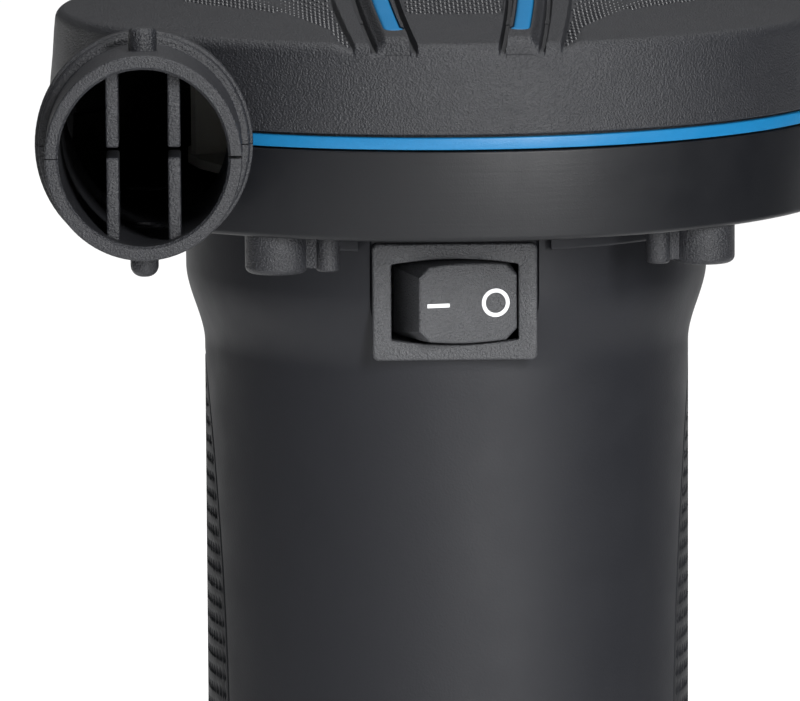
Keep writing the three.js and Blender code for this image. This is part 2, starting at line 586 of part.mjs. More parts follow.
// The centre line of an arm, from the rim towards the intake; hand is the X side and way is -1 at the front.
function armPath(hand, way, from, to, offset = 0) {
  const steps = 4;
  const span = DOME_START;
  return Array.from({ length: steps + 1 }, (_, i) => {
    const y = from + ((to - from) * i) / steps;
    const x = ARM_HALF_SPACING + ARM_BOW * (1 - (y / span) ** 2) + offset;
    return [hand * x, way * y];
  });
}

const armSides = [['left', -1], ['right', 1]];
const armEnds = [['front', -1], ['back', 1]];
const arms = armEnds.flatMap(([end, way]) => armSides.map(([side, hand]) => ({ end, way, side, hand })));

function cutDown(shell, area, depth) {
  return shell.subtract(area.subtract(headBlank(-depth)));
}

function insertArea({ hand, way }, clearance) {
  const outer = DOME_START - INSERT_RIM_INSET + clearance;
  const path = armPath(hand, way, outer, INSERT_INNER_END - clearance, INSERT_OFFSET);
  return prism(ribbonOutline(path, INSERT_WIDTH + 2 * clearance), UPPER_BOTTOM, DOME_TOP + 5);
}

function addArms(shell) {
  let result = shell;
  for (const arm of arms) {
    const centre = armPath(arm.hand, arm.way, RIM_REACH, ARM_INNER);
    const groove = armPath(arm.hand, arm.way, RIM_REACH, STRIP_INNER, STRIP_OFFSET);
    const high = DOME_TOP + 5;
    const channel = prism(ribbonOutline(centre, ARM_WIDTH + 2 * CHANNEL_SIDE), UPPER_BOTTOM, high);
    result = cutDown(result, channel, CHANNEL_DEPTH);
    result = cutDown(result, prism(ribbonOutline(groove, STRIP_WIDTH), UPPER_BOTTOM, high), CHANNEL_DEPTH);
    const bar = prism(ribbonOutline(centre, ARM_WIDTH), UPPER_BOTTOM, high);
    const rootless = bar.intersect(headBlank(ARM_RISE, GAP)).subtract(headBlank(-CHANNEL_DEPTH - 2 * GAP));
    result = result.add(rootless);
    result = cutDown(result, insertArea(arm, GAP), INSERT_DEPTH - ARM_RISE);
  }
  return result;
}

function insert(arm) {
  return insertArea(arm, 0).intersect(headBlank(ARM_RISE + 0.1, GAP))
    .subtract(headBlank(GAP - (INSERT_DEPTH - ARM_RISE)));
}

function upperVolute() {
  const lipRadius = HEAD_RADIUS - RING_SET_BACK - RING_DEPTH - GAP;
  const lipBottom = LOWER_TOP + GAP;
  const blank = turned([[0, lipBottom], [lipRadius, lipBottom], [lipRadius, UPPER_BOTTOM],
    [HEAD_RADIUS, UPPER_BOTTOM], ...domeProfile(0)]);
  const slope = (DOME_TOP - RIM_TOP) / (DOME_START - LAND_RADIUS);
  const underRim = RIM_TOP - CEILING;
  const chamber = turned([[0, lipBottom - PAST], [CHAMBER_RADIUS, lipBottom - PAST],
    [CHAMBER_RADIUS, UPPER_BOTTOM], [CHAMBER_RADIUS - UPPER_DRAFT, underRim],
    [LAND_RADIUS, underRim + slope * (CHAMBER_RADIUS - UPPER_DRAFT - LAND_RADIUS)], [0, DOME_TOP - CEILING]]);
  const inCeiling = headBlank(-1);
  const pillars = bossAngles.map((angle) => (
    post(around(BOSS_CIRCLE, angle), PILLAR_RADIUS, FLOOR_TOP + GAP, RIM_TOP)));
  const scroll = prism(scrollOutline(), lipBottom, DOME_TOP).intersect(inCeiling).subtract(nozzleBore());
  const spigot = post([0, 0], PORT_RADIUS, DOME_TOP - 1, INTAKE_TOP, FACETS_MEDIUM + 8);
  const pins = [-1, 1].map((hand) => {
    const length = PORT_PIN_REACH - PORT_BORE - 1;
    const peg = new THREE.CylinderGeometry(PORT_PIN_RADIUS, PORT_PIN_RADIUS, length, FACETS_SMALL);
    const middle = PORT_PIN_REACH - length / 2;
    return asSolid(peg.rotateZ(Math.PI / 2).translate(hand * middle, 0, INTAKE_TOP - INTAKE_PIN_DROP));
  });
  const lowerHalf = block(NOZZLE_SPAN, [NOZZLE_FRONT, 0], [LOWER_TOP - PAST, NOZZLE_Z + GAP / 2]);
  const room = nozzleSolid(GAP).intersect(lowerHalf);
  const wall = cut(join([blank, nozzleHalf(1)]), [chamber, nozzleBore(), room]);
  const shell = addArms(join([wall, ...guards(1), scroll.subtract(room)]));
  const trimmedPillars = pillars.map((pillar) => pillar.subtract(nozzleBore()));
  const pilotTop = HEAD_SCREW_SEAT + HEAD_SCREW_LENGTH + PAST;
  const pilot = (angle) => post(around(BOSS_CIRCLE, angle), SCREW_RADIUS + GAP, FLOOR_TOP, pilotTop);
  return cut(join([shell, spigot, ...pins, ...trimmedPillars]), [
    post([0, 0], PORT_BORE, INTAKE_LEDGE, INTAKE_TOP + PAST, FACETS_MEDIUM + 8),
    post([0, 0], PORT_BORE - 1, DOME_TOP - CEILING - PAST, INTAKE_TOP, FACETS_MEDIUM + 8),
    ...bossAngles.map(pilot),
  ]);
}

function intakeGrille() {
  const bottom = INTAKE_LEDGE + GAP;
  const top = bottom + GRILLE_THICK;
  const spokes = ring(4).map((angle) => {
    const spoke = new THREE.BoxGeometry(PORT_BORE - 1, 1.4, GRILLE_THICK);
    spoke.translate((PORT_BORE - 1) / 2, 0, bottom + GRILLE_THICK / 2);
    return asSolid(spoke.rotateZ(radians(angle)));
  });
  return join([
    hollow(PORT_BORE - 1.6, PORT_BORE - GAP, bottom, top, FACETS_MEDIUM),
    hollow(5.2, 6.4, bottom, top, FACETS_MEDIUM),
    post([0, 0], 2.4, bottom, top, 20),
    ...spokes,
  ]);
}

// ---- Screws ----
// A screw along +Z with its head down: the head's underside is at z = 0 and the shank runs up.
function screw(length) {
  const slot = block([-1.5, 1.5], [-0.35, 0.35], [-SCREW_HEAD_HEIGHT - 1, -0.9]);
  const cross = block([-0.35, 0.35], [-1.5, 1.5], [-SCREW_HEAD_HEIGHT - 1, -0.9]);
  const body = turned([[0, -SCREW_HEAD_HEIGHT], [SCREW_HEAD_RADIUS, -SCREW_HEAD_HEIGHT],
    [SCREW_HEAD_RADIUS, 0], [SCREW_RADIUS, 0], [SCREW_RADIUS, length - 1], [0, length]], FACETS_SMALL);
  return body.subtract(slot.add(cross));
}

function placeScrews() {
  const upward = asGeometry(screw(HEAD_SCREW_LENGTH));
  bossAngles.forEach((angle, i) => {
    const [x, y] = around(BOSS_CIRCLE, angle);
    place(`head_screw_${i + 1}`, upward, STEEL(), [x, y, HEAD_SCREW_SEAT - GAP]);
  });
  const downward = asGeometry(screw(BODY_SCREW_LENGTH)).rotateX(Math.PI);
  BODY_SCREW_ANGLES.forEach((angle, i) => {
    const [x, y] = around(BODY_SCREW_CIRCLE, angle);
    place(`body_screw_${i + 1}`, downward, STEEL(), [x, y, FLOOR_TOP + GAP]);
  });
  const short = asGeometry(screw(MOTOR_SCREW_LENGTH)).rotateX(Math.PI);
  [-MOTOR_SCREW_X, MOTOR_SCREW_X].forEach((x, i) => {
    place(`motor_screw_${i + 1}`, short, STEEL(), [x, 0, FLOOR_TOP + GAP]);
  });
}

// ---- Rocker switch ----
function bowedOutline(halfWidth, halfHeight, bow) {
  const steps = 8;
  const top = Array.from({ length: steps + 1 }, (_, i) => {
    const x = halfWidth - (2 * halfWidth * i) / steps;
    return [x, halfHeight + bow * (1 - (x / halfWidth) ** 2)];
  });
  return [...top, ...top.map(([x, z]) => [-x, -z])].map(([x, z]) => [x, SWITCH_Z + z]);
}

function switchHousing() {
  const w = SWITCH_WIDTH / 2;
  const h = SWITCH_HEIGHT / 2;
  const back = SWITCH_FACE + BEZEL_THICK;
  const end = back + HOUSING_DEPTH;
  const floor = end - 1;
  const bezel = new THREE.Shape();
  const corner = 0.8;
  bezel.moveTo(-w + corner, -h);
  bezel.lineTo(w - corner, -h);
  bezel.absarc(w - corner, -h + corner, corner, -Math.PI / 2, 0);
  bezel.absarc(w - corner, h - corner, corner, 0, Math.PI / 2);
  bezel.absarc(-w + corner, h - corner, corner, Math.PI / 2, Math.PI);
  bezel.absarc(-w + corner, -h + corner, corner, Math.PI, 1.5 * Math.PI);
  const options = { depth: BEZEL_THICK, bevelEnabled: false, curveSegments: 3 };
  const plate = new THREE.ExtrudeGeometry(bezel, options);
  const halfIn = HOUSING_HALF_HEIGHT - HOUSING_WALL;
  const sideIn = HOUSING_HALF_WIDTH - HOUSING_WALL;
  const tube = block([-HOUSING_HALF_WIDTH, HOUSING_HALF_WIDTH], [back - 0.5, end],
    [SWITCH_Z - HOUSING_HALF_HEIGHT, SWITCH_Z + HOUSING_HALF_HEIGHT]);
  const cavity = block([-sideIn, sideIn], [back, floor], [SWITCH_Z - halfIn, SWITCH_Z + halfIn]);
  const opening = bowedOutline(OPENING_HALF_WIDTH, OPENING_HALF_HEIGHT, OPENING_BOW);
  const mouth = prismForward(opening, back + GAP, SWITCH_FACE - PAST);
  const pivot = post([0, PIVOT_Y], TRUNNION_RADIUS + GAP, SWITCH_Z - 10, SWITCH_Z + 10);
  const slots = [-1, 1].map((hand) => {
    const x = (hand * TERMINAL_SPACING) / 2;
    const halfWidth = TERMINAL_HALF_WIDTH + GAP;
    const halfThick = TERMINAL_HALF_THICK + GAP;
    return block([x - halfWidth, x + halfWidth], [floor - PAST, end + PAST],
      [SWITCH_Z - halfThick, SWITCH_Z + halfThick]);
  });
  const front = asSolid(plate.rotateX(Math.PI / 2).translate(0, back, SWITCH_Z));
  return cut(front.add(tube), [cavity, mouth, pivot, ...slots]);
}

// The rocker is drawn upright about its pivot, facing -Y, and placed at its tilt.
function rocker() {
  const f = ROCKER_FACE_HALF;
  const h = ROCKER_HALF_HEIGHT;
  const corners = [
    [0, -ROCKER_REACH, h], [f - 1.4, -ROCKER_REACH, h - 0.3], [f, -ROCKER_REACH, h - 1.6],
    [0, -ROCKER_SHOULDER, h], [ROCKER_SHOULDER_HALF - 1.1, -ROCKER_SHOULDER, h - 0.3],
    [ROCKER_SHOULDER_HALF, -ROCKER_SHOULDER, h - 1.1],
    [5, 1.2, h - 0.3], [0, 1.2, h],
  ];
  const points = [];
  for (const [x, y, z] of corners) {
    for (const [sideways, upwards] of [[1, 1], [1, -1], [-1, 1], [-1, -1]]) {
      points.push(new THREE.Vector3(sideways * x, y, upwards * z));
    }
  }
  const trunnion = post([0, 0], TRUNNION_RADIUS, -HOUSING_HALF_HEIGHT + 0.1, HOUSING_HALF_HEIGHT - 0.1);
  return asSolid(new ConvexGeometry(points)).add(trunnion);
}

function placeSwitch() {
  place('switch_housing', switchHousing(), CHARCOAL());
  place('rocker', rocker(), CHARCOAL(), [0, PIVOT_Y, SWITCH_Z], ROCKER_TILT);
  [-1, 1].forEach((hand, i) => {
    const x = (hand * TERMINAL_SPACING) / 2;
    const blade = block([x - TERMINAL_HALF_WIDTH, x + TERMINAL_HALF_WIDTH],
      [TERMINAL_BACK - TERMINAL_LENGTH, TERMINAL_BACK],
      [SWITCH_Z - TERMINAL_HALF_THICK, SWITCH_Z + TERMINAL_HALF_THICK]);
    place(`switch_terminal_${i + 1}`, blade, BRASS());
  });
}

// ---- Motor and impeller ----
function motorCan() {
  const inner = MOTOR_RADIUS - MOTOR_SHELL;
  const plate = MOTOR_TOP - 1;
  const shell = turned([[inner, CAN_BOTTOM], [MOTOR_RADIUS, CAN_BOTTOM], [MOTOR_RADIUS, MOTOR_TOP - 0.6],
    [MOTOR_RADIUS - 0.6, MOTOR_TOP], [BEARING_RADIUS + GAP, MOTOR_TOP], [BEARING_RADIUS + GAP, plate],
    [inner, plate], [inner, CAN_BOTTOM]], FACETS_MEDIUM);
  const holes = [-MOTOR_SCREW_X, MOTOR_SCREW_X].map((x) => (
    post([x, 0], SCREW_RADIUS + 2 * GAP, plate - PAST, MOTOR_TOP + PAST)));
  return cut(shell, holes);
}

function placeMotor() {
  const inner = MOTOR_RADIUS - MOTOR_SHELL;
  const magnetOuter = inner - GAP;
  const magnetInner = magnetOuter - 2.2;
  const coreRadius = magnetInner - 0.5;
  const coreBottom = CAN_BOTTOM + 8;
  const coreTop = MOTOR_TOP - 7;
  const shaftHole = SHAFT_RADIUS + GAP;
  place('motor_can', motorCan(), STEEL());
  const endCap = turned([[shaftHole, MOTOR_BOTTOM], [MOTOR_RADIUS, MOTOR_BOTTOM],
    [MOTOR_RADIUS, MOTOR_BOTTOM + END_CAP_HEIGHT], [BEARING_RADIUS + GAP, MOTOR_BOTTOM + END_CAP_HEIGHT],
    [BEARING_RADIUS + GAP, MOTOR_BOTTOM + 0.8], [shaftHole, MOTOR_BOTTOM + 0.8],
    [shaftHole, MOTOR_BOTTOM]], FACETS_MEDIUM);
  place('motor_end_cap', endCap, RUBBER());
  const rearBottom = MOTOR_BOTTOM + 0.8 + GAP;
  place('rear_bearing', hollow(shaftHole, BEARING_RADIUS, rearBottom, rearBottom + 2.4, 16), BRASS());
  place('front_bearing', hollow(shaftHole, BEARING_RADIUS, MOTOR_TOP - 3, FLOOR_TOP, 16), BRASS());
  [0, 180].forEach((middle, i) => {
    const magnet = sector(magnetInner, magnetOuter, middle - 68, middle + 68, CAN_BOTTOM + 5, MOTOR_TOP - 5);
    place(`magnet_${i + 1}`, magnet, RUBBER());
  });
  const shaftLow = MOTOR_BOTTOM + 0.4;
  const shaftHigh = HUB_TOP + 2;
  const shaft = turned([[0, shaftLow], [SHAFT_RADIUS, shaftLow], [SHAFT_RADIUS, shaftHigh],
    [0, shaftHigh]], 16);
  place('motor_shaft', shaft, STEEL());
  const poles = ring(3).map((angle) => sector(3, coreRadius, angle - 48, angle + 48, coreBottom, coreTop));
  const waists = ring(3).flatMap((angle) => [-1, 1].map((hand) => (
    sector(4.4, coreRadius - 1.6, angle + hand * 27, angle + hand * 60, coreBottom - PAST, coreTop + PAST))));
  const core = join([hollow(shaftHole, 4.2, coreBottom, coreTop, 18), ...poles]);
  place('armature', cut(core, waists), COPPER());
  place('commutator', hollow(shaftHole, 3.4, CAN_BOTTOM + 1, coreBottom - 1, 18), COPPER());
  [-1, 1].forEach((hand, i) => {
    const near = 3.4 + GAP;
    const brush = block([Math.min(hand * near, hand * 8), Math.max(hand * near, hand * 8)], [-1.4, 1.4],
      [CAN_BOTTOM + 1.5, CAN_BOTTOM + 4.5]);
    place(`brush_${i + 1}`, brush, RUBBER());
  });
}

function impeller() {
  const disc = turned([[SHAFT_RADIUS + GAP, DISC_BOTTOM], [IMPELLER_RADIUS, DISC_BOTTOM],
    [IMPELLER_RADIUS, DISC_TOP],
    [5, DISC_TOP], [4, HUB_TOP], [SHAFT_RADIUS + GAP, HUB_TOP], [SHAFT_RADIUS + GAP, DISC_BOTTOM]], 30);
  const inner = 12;
  const steps = 3;
  const blades = ring(BLADE_COUNT).map((start) => {
    const path = Array.from({ length: steps + 1 }, (_, i) => {
      const radius = inner + ((IMPELLER_RADIUS - 0.6 - inner) * i) / steps;
      const sweep = start + 38 * Math.sqrt(i / steps);
      return around(radius, sweep);
    });
    return prism(ribbonOutline(path, 1.2), DISC_TOP - 0.4, BLADE_TOP);
  });
  return join([disc, ...blades]);
}

// ---- Battery, contacts and cap ----
function cell() {
  return turned([[0, 0], [CELL_RADIUS, 0], [CELL_RADIUS, CELL_LENGTH - NUB_HEIGHT - 0.6],
    [CELL_RADIUS - 0.6, CELL_LENGTH - NUB_HEIGHT], [NUB_RADIUS, CELL_LENGTH - NUB_HEIGHT],
    [NUB_RADIUS, CELL_LENGTH], [0, CELL_LENGTH]], 16);
}

function contactSpring() {
  const turns = 2.5;
  const steps = 20;
  const points = Array.from({ length: steps + 1 }, (_, i) => {
    const share = i / steps;
    const radius = 6.5 - 2.8 * share;
    const angle = radians(360 * turns * share);
    return [radius * Math.cos(angle), radius * Math.sin(angle), 0.45 + (SPRING_HEIGHT - 0.9) * share];
  });
  return wire(points, 0.4, 5, steps);
}

function placeBattery() {
  const cellShape = asGeometry(cell());
  const cellAngles = ring(CELL_COUNT, 180);
  [0, 1].forEach((layer) => {
    cellAngles.forEach((angle, i) => {
      const [x, y] = around(CELL_CIRCLE, angle);
      const z = CELL_BOTTOM + layer * (CELL_LENGTH + GAP);
      place(`cell_${layer * CELL_COUNT + i + 1}`, cellShape, metal(0x8d6b3e, 0.4), [x, y, z]);
    });
  });
  const plate = (bottom) => (
    hollow(CELL_CIRCLE - 8, CELL_CIRCLE + 8, bottom, bottom + CONTACT_THICK, FACETS_MEDIUM));
  place('upper_contact', plate(UPPER_CONTACT_BOTTOM), BRASS());
  place('cap_contact', plate(CAP_FLOOR + GAP), BRASS());
  const springShape = asGeometry(contactSpring());
  cellAngles.forEach((angle, i) => {
    const [x, y] = around(CELL_CIRCLE, angle);
    place(`contact_spring_${i + 1}`, springShape, STEEL(), [x, y, SPRING_BOTTOM]);
  });
  const stripOuter = BODY_BORE - GAP - 0.3;
  const strip = new THREE.BoxGeometry(0.4, 5, BULKHEAD_BOTTOM - GAP - BODY_BOTTOM);
  strip.translate(stripOuter - 0.2, 0, (BULKHEAD_BOTTOM - GAP + BODY_BOTTOM) / 2);
  place('return_strip', asSolid(strip), BRASS(), [0, 0, 0], 30);
}

function batteryCap() {
  const arc = [0, 30, 60, 90].map((angle) => [
    CAP_RADIUS - CAP_FILLET * (1 - Math.sin(radians(angle))), CAP_FILLET * (1 - Math.cos(radians(angle)))]);
  const inner = GRIP_RADIUS + GAP;
  const shell = turned([[0, 0], ...arc, [CAP_RADIUS, CAP_HEIGHT - 0.8], [CAP_RADIUS - 0.8, CAP_HEIGHT],
    [inner, CAP_HEIGHT], [inner, CAP_FLOOR], [0, CAP_FLOOR]]);
  const grooveOuter = GRIP_RADIUS + LUG_REACH + GAP;
  const low = LUG_HEIGHT - LUG_RADIUS - GAP;
  const high = LUG_HEIGHT + LUG_RADIUS + GAP;
  const half = THREE.MathUtils.radToDeg((LUG_RADIUS + GAP) / GRIP_RADIUS) + 0.3;
  const grooves = ring(3, 60).flatMap((angle) => {
    const entry = angle + CAP_TURN;
    return [
      sector(inner - PAST, grooveOuter, angle - half, entry + half, low, high),
      sector(inner - PAST, grooveOuter, entry - half, entry + half, low, CAP_HEIGHT + PAST),
    ];
  });
  const flutes = ring(FLUTE_COUNT, 10).map((angle) => (
    post(around(CAP_RADIUS + 1.6, angle), 2.4, 3.2, CAP_HEIGHT + PAST, 8)));
  return cut(shell, [...grooves, ...flutes]);
}

// ---- Put it together ----
place('body_shell', bodyShell(), CHARCOAL());
place('left_grip', gripPad(-1), RUBBER());
place('right_grip', gripPad(1), RUBBER());
place('lower_volute', lowerVolute(), SATIN());
place('accent_ring', accentRing(), BLUE());
place('upper_volute', upperVolute(), CHARCOAL());
for (const arm of arms) place(`${arm.end}_${arm.side}_insert`, insert(arm), BLUE());
place('intake_grille', intakeGrille(), SATIN());
placeScrews();
placeSwitch();
placeMotor();
place('impeller', impeller(), plastic(0xd8d8d4, 0.45));
place('impeller_clip', hollow(SHAFT_RADIUS + GAP, 3.2, HUB_TOP + GAP, HUB_TOP + GAP + 0.6, 18), STEEL());
placeBattery();
leads();
place('battery_cap', batteryCap(), SATIN());
const seal = hollow(BODY_BORE + GAP, GRIP_RADIUS - GAP / 2, SEAL_BOTTOM, SEAL_BOTTOM + SEAL_HEIGHT, 36);
place('cap_seal', seal, RUBBER());

export default pump;
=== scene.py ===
# The looks of a handheld battery air pump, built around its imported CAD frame.
# Sizes are millimetres in the CAD frame: +Z up, -Y front, origin at the centre of the base.
import math

import bmesh
import bpy
import numpy as np
from mathutils import Matrix, Vector


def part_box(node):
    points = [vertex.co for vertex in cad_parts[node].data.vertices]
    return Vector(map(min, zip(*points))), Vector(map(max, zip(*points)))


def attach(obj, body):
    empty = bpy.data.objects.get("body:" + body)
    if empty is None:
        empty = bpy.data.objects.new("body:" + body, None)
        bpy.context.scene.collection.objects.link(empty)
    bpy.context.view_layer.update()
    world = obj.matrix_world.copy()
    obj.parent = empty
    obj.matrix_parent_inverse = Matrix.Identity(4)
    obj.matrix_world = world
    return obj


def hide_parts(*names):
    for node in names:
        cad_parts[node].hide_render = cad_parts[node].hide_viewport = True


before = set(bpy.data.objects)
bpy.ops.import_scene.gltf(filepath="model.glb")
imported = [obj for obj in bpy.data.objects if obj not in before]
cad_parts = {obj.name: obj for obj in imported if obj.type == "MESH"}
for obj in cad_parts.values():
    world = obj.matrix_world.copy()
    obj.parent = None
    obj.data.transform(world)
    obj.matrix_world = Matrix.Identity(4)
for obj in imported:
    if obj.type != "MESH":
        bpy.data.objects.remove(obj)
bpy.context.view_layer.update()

MM = 0.001
TAU = 2 * math.pi

# ---- Sizes: most are the CAD frame's, and the arms, grooves and edges are finer here ----
HEAD_BASE = 150.0
HEAD_RADIUS = 51.9
LOWER_DRAFT = 0.5
UPPER_DRAFT = 1.0
LOWER_TOP = 161.4
RING_BOTTOM = 161.65
RING_TOP = 163.15
UPPER_BOTTOM = 163.5
RIM_TOP = 174.9
RIM_FILLET = 1.6
HEAD_WALL = 2.0
CEILING = 2.2
CHAMBER_RADIUS = HEAD_RADIUS - HEAD_WALL
DOME_SLOPE = math.tan(math.radians(10))
DOME_START = HEAD_RADIUS - UPPER_DRAFT - RIM_FILLET
LAND_RADIUS = 17.5
DOME_TOP = RIM_TOP + (DOME_START - LAND_RADIUS) * DOME_SLOPE
PORT_RADIUS = 12.15
PORT_BORE = 10.45
PIN_RADIUS = 1.75
PIN_REACH = 15.5
SLEEVE_RADIUS = 13.6
SLEEVE_FRONT = -51.0
SLEEVE_BACK = -47.5
TUBE_RADIUS = 11.55
NOZZLE_X = -39.2
NOZZLE_Z = HEAD_BASE + 12.5
NOZZLE_FRONT = -65.0
NOZZLE_STRETCH = 1.045
PIN_Y = NOZZLE_FRONT + 7
MARK_Y = NOZZLE_FRONT + 20
GUARD_OFFSET = 3.8
GUARD_THICK = 1.6
GUARD_FRONT = NOZZLE_FRONT + 3
GUARD_DEPTH = 8.0
SPLIT = 0.12
INTAKE_TOP = DOME_TOP + 8
INTAKE_LEDGE = DOME_TOP - 0.9
INTAKE_PIN_Z = INTAKE_TOP - 4
ARM_HALF_SPACING = 8.5
ARM_BOW = 2.6
BAR_EDGES = (-2.5, 1.75)
ARM_RISE = 0.9
CHANNEL_EDGES = (-3.1, 2.25)
CHANNEL_DEPTH = 1.1
ARM_INNER = 18.0
INSERT_CENTRE = -0.8
INSERT_WIDTH = 2.1
INSERT_ENDS = (19.0, 46.6)
GRIP_RADIUS = 31.8
NECK_RADIUS = 34.2
BODY_WALL = 2.2
BODY_BOTTOM = 4.9
BODY_TOP = 149.7
NECK_TOP = 9.0
NECK_BOTTOM = 19.5
COLLAR_RADIUS = 36.0
COLLAR_HEIGHT = 3.4
COLLAR_ENDS = (-30, 62)
COLLAR_NOTCH = 12.3
PAD_CENTRE = 75.0
PAD_HALF_HEIGHT = 54.5
PAD_HALF_WIDTH = GRIP_RADIUS * math.sin(math.radians(24))
PAD_DEPTH = 0.9
BOSS_ANGLES = [-29.2 + 72 * i for i in range(5)]
BOSS_CIRCLE = 46.5
BOSS_RADIUS = 4.0
BOSS_LOW = 145.0
PEG_CIRCLE = 45.0
PEG_RADIUS = 1.5
PEG_STEP = 8.0
SCREW_SEAT = 148.0
POST_RADIUS = 3.2
PILOT_RADIUS = 1.4
BODY_SCREW_ANGLES = (60, 180, 300)
BODY_SCREW_CIRCLE = 29.2
SWITCH_Z = 140.0
SWITCH_HALF_WIDTH = 10.5
SWITCH_HALF_HEIGHT = 7.5
SWITCH_FACE = -33.5
BEZEL_THICK = 1.2
PAD_FACE = SWITCH_FACE + BEZEL_THICK + 0.3
PIVOT_Y = -26.9
ROCKER_TILT = 12.0
CAP_RADIUS = 35.2
CAP_HEIGHT = 14.0
CAP_TURN = 45
LUG_ANGLES = (60, 180, 300)
LUG_ROOM = 3.2


def box_mm(node):
    low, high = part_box(node)
    return low / MM, high / MM


def around(radius, degrees):
    angle = math.radians(degrees)
    return radius * math.sin(angle), -radius * math.cos(angle)


# ---- Mesh building ----
def link(obj):
    bpy.context.scene.collection.objects.link(obj)
    return obj


def new_object(name, points, faces):
    mesh = bpy.data.meshes.new(name)
    mesh.from_pydata((np.asarray(points, float) * MM).tolist(), [], faces)
    mesh.update()
    return link(bpy.data.objects.new(name, mesh))


def tidy_normals(obj):
    build = bmesh.new()
    build.from_mesh(obj.data)
    bmesh.ops.remove_doubles(build, verts=build.verts, dist=1e-7)
    bmesh.ops.dissolve_degenerate(build, edges=build.edges, dist=1e-7)
    bmesh.ops.recalc_face_normals(build, faces=build.faces)
    build.to_mesh(obj.data)
    build.free()
    return obj


# A closed grid: points[row][column], where both directions wrap round.
def wrapped_grid(name, points):
    rows, columns = points.shape[:2]
    index = np.arange(rows * columns).reshape(rows, columns)
    right = np.roll(index, -1, 1)
    below = np.roll(index, -1, 0)
    corner = np.roll(right, -1, 0)
    faces = np.stack([index, below, corner, right], -1).reshape(-1, 4)
    return tidy_normals(new_object(name, points.reshape(-1, 3), faces.tolist()))


# A closed profile of [radius, height] points turned about the Z axis.
def lathe(name, profile, segments=128):
    flat = np.asarray(profile, float)
    angle = np.arange(segments) * TAU / segments
    points = np.empty((len(flat), segments, 3))
    points[..., 0] = flat[:, :1] * np.sin(angle)
    points[..., 1] = -flat[:, :1] * np.cos(angle)
    points[..., 2] = flat[:, 1:]
    return wrapped_grid(name, points)


def tube(name, inner, outer, low, high, segments=128):
    return lathe(name, [(inner, low), (outer, low), (outer, high), (inner, high)], segments)


def rod(name, radius, low, high, segments):
    return tube(name, 0, radius, low, high, segments)


# Rows of a tube that is open at both ends: each row's point numbers, and the faces between rows.
def open_tube(rows, columns):
    index = np.arange(rows * columns).reshape(rows, columns)
    right = np.roll(index, -1, 1)
    faces = np.stack([index[:-1], index[1:], right[1:], right[:-1]], -1).reshape(-1, 4).tolist()
    return index.tolist(), faces


# An outline of [x, y] points pulled up from one height to another.
def prism(name, outline, low, high):
    count = len(outline)
    points = [(x, y, low) for x, y in outline] + [(x, y, high) for x, y in outline]
    faces = [[i, (i + 1) % count, count + (i + 1) % count, count + i] for i in range(count)]
    faces += [list(range(count))[::-1], list(range(count, 2 * count))]
    return tidy_normals(new_object(name, points, faces))


def slab(name, low, high):
    (x0, y0, z0), (x1, y1, z1) = low, high
    return prism(name, [(x0, y0), (x1, y0), (x1, y1), (x0, y1)], z0, z1)


def turn(obj, matrix):
    obj.data.transform(matrix)
    obj.data.update()
    return obj


def shift(obj, x, y, z):
    return turn(obj, Matrix.Translation(Vector((x, y, z)) * MM))


def spin(obj, degrees, axis):
    return turn(obj, Matrix.Rotation(math.radians(degrees), 4, axis))


# Corners are [radius, height] or [radius, height, fillet]; a fillet becomes an arc.
def rounded(corners, steps=6, closed=True):
    points = []
    count = len(corners)
    for i, corner in enumerate(corners):
        here = Vector(corner[:2])
        fillet = corner[2] if len(corner) > 2 else 0
        if not fillet or (not closed and i in (0, count - 1)):
            points.append(tuple(here))
            continue
        before = (Vector(corners[i - 1][:2]) - here).normalized()
        after = (Vector(corners[(i + 1) % count][:2]) - here).normalized()
        half = math.acos(max(-1, min(1, before.dot(after)))) / 2
        reach = fillet / math.tan(half)
        centre = here + (before + after).normalized() * (fillet / math.sin(half))
        start = here + before * reach - centre
        end = here + after * reach - centre
        sweep = math.atan2(start.x * end.y - start.y * end.x, start.dot(end))
        for k in range(steps + 1):
            angle = sweep * k / steps
            cos, sin = math.cos(angle), math.sin(angle)
            x = centre.x + start.x * cos - start.y * sin
            y = centre.y + start.x * sin + start.y * cos
            points.append((x, y))
    return points


def resample(points, count):
    flat = np.asarray(points, float)
    steps = np.hypot(*np.diff(flat, axis=0).T)
    along = np.concatenate([[0], np.cumsum(steps)])
    wanted = np.linspace(0, along[-1], count)
    return np.stack([np.interp(wanted, along, flat[:, k]) for k in (0, 1)], -1)


def apply_modifiers(obj):
    graph = bpy.context.evaluated_depsgraph_get()
    mesh = bpy.data.meshes.new_from_object(obj.evaluated_get(graph))
    obj.modifiers.clear()
    obj.data = mesh
    return obj


def combine(obj, others, operation):
    for other in others:
        change = obj.modifiers.new("combine", "BOOLEAN")
        change.operation = operation
        change.solver = "MANIFOLD"
        change.object = other
        apply_modifiers(obj)
        bpy.data.objects.remove(other)
    return obj


def join(obj, *others):
    return combine(obj, others, "UNION")


def cut(obj, *others):
    return combine(obj, others, "DIFFERENCE")


def keep(obj, *others):
    return combine(obj, others, "INTERSECT")


def bevel(obj, width):
    change = obj.modifiers.new("edges", "BEVEL")
    change.width = width * MM
    change.segments = 3
    change.limit_method = "ANGLE"
    change.angle_limit = math.radians(30)
    change.harden_normals = False
    return apply_modifiers(obj)


def smooth(obj, angle=32):
    obj.data.polygons.foreach_set("use_smooth", [True] * len(obj.data.polygons))
    obj.data.set_sharp_from_angle(angle=math.radians(angle))
    return obj


# ---- Materials ----
def shade(red, green, blue):
    def linear(value):
        part = value / 255
        return part / 12.92 if part <= 0.04045 else ((part + 0.055) / 1.055) ** 2.4
    return linear(red), linear(green), linear(blue), 1.0


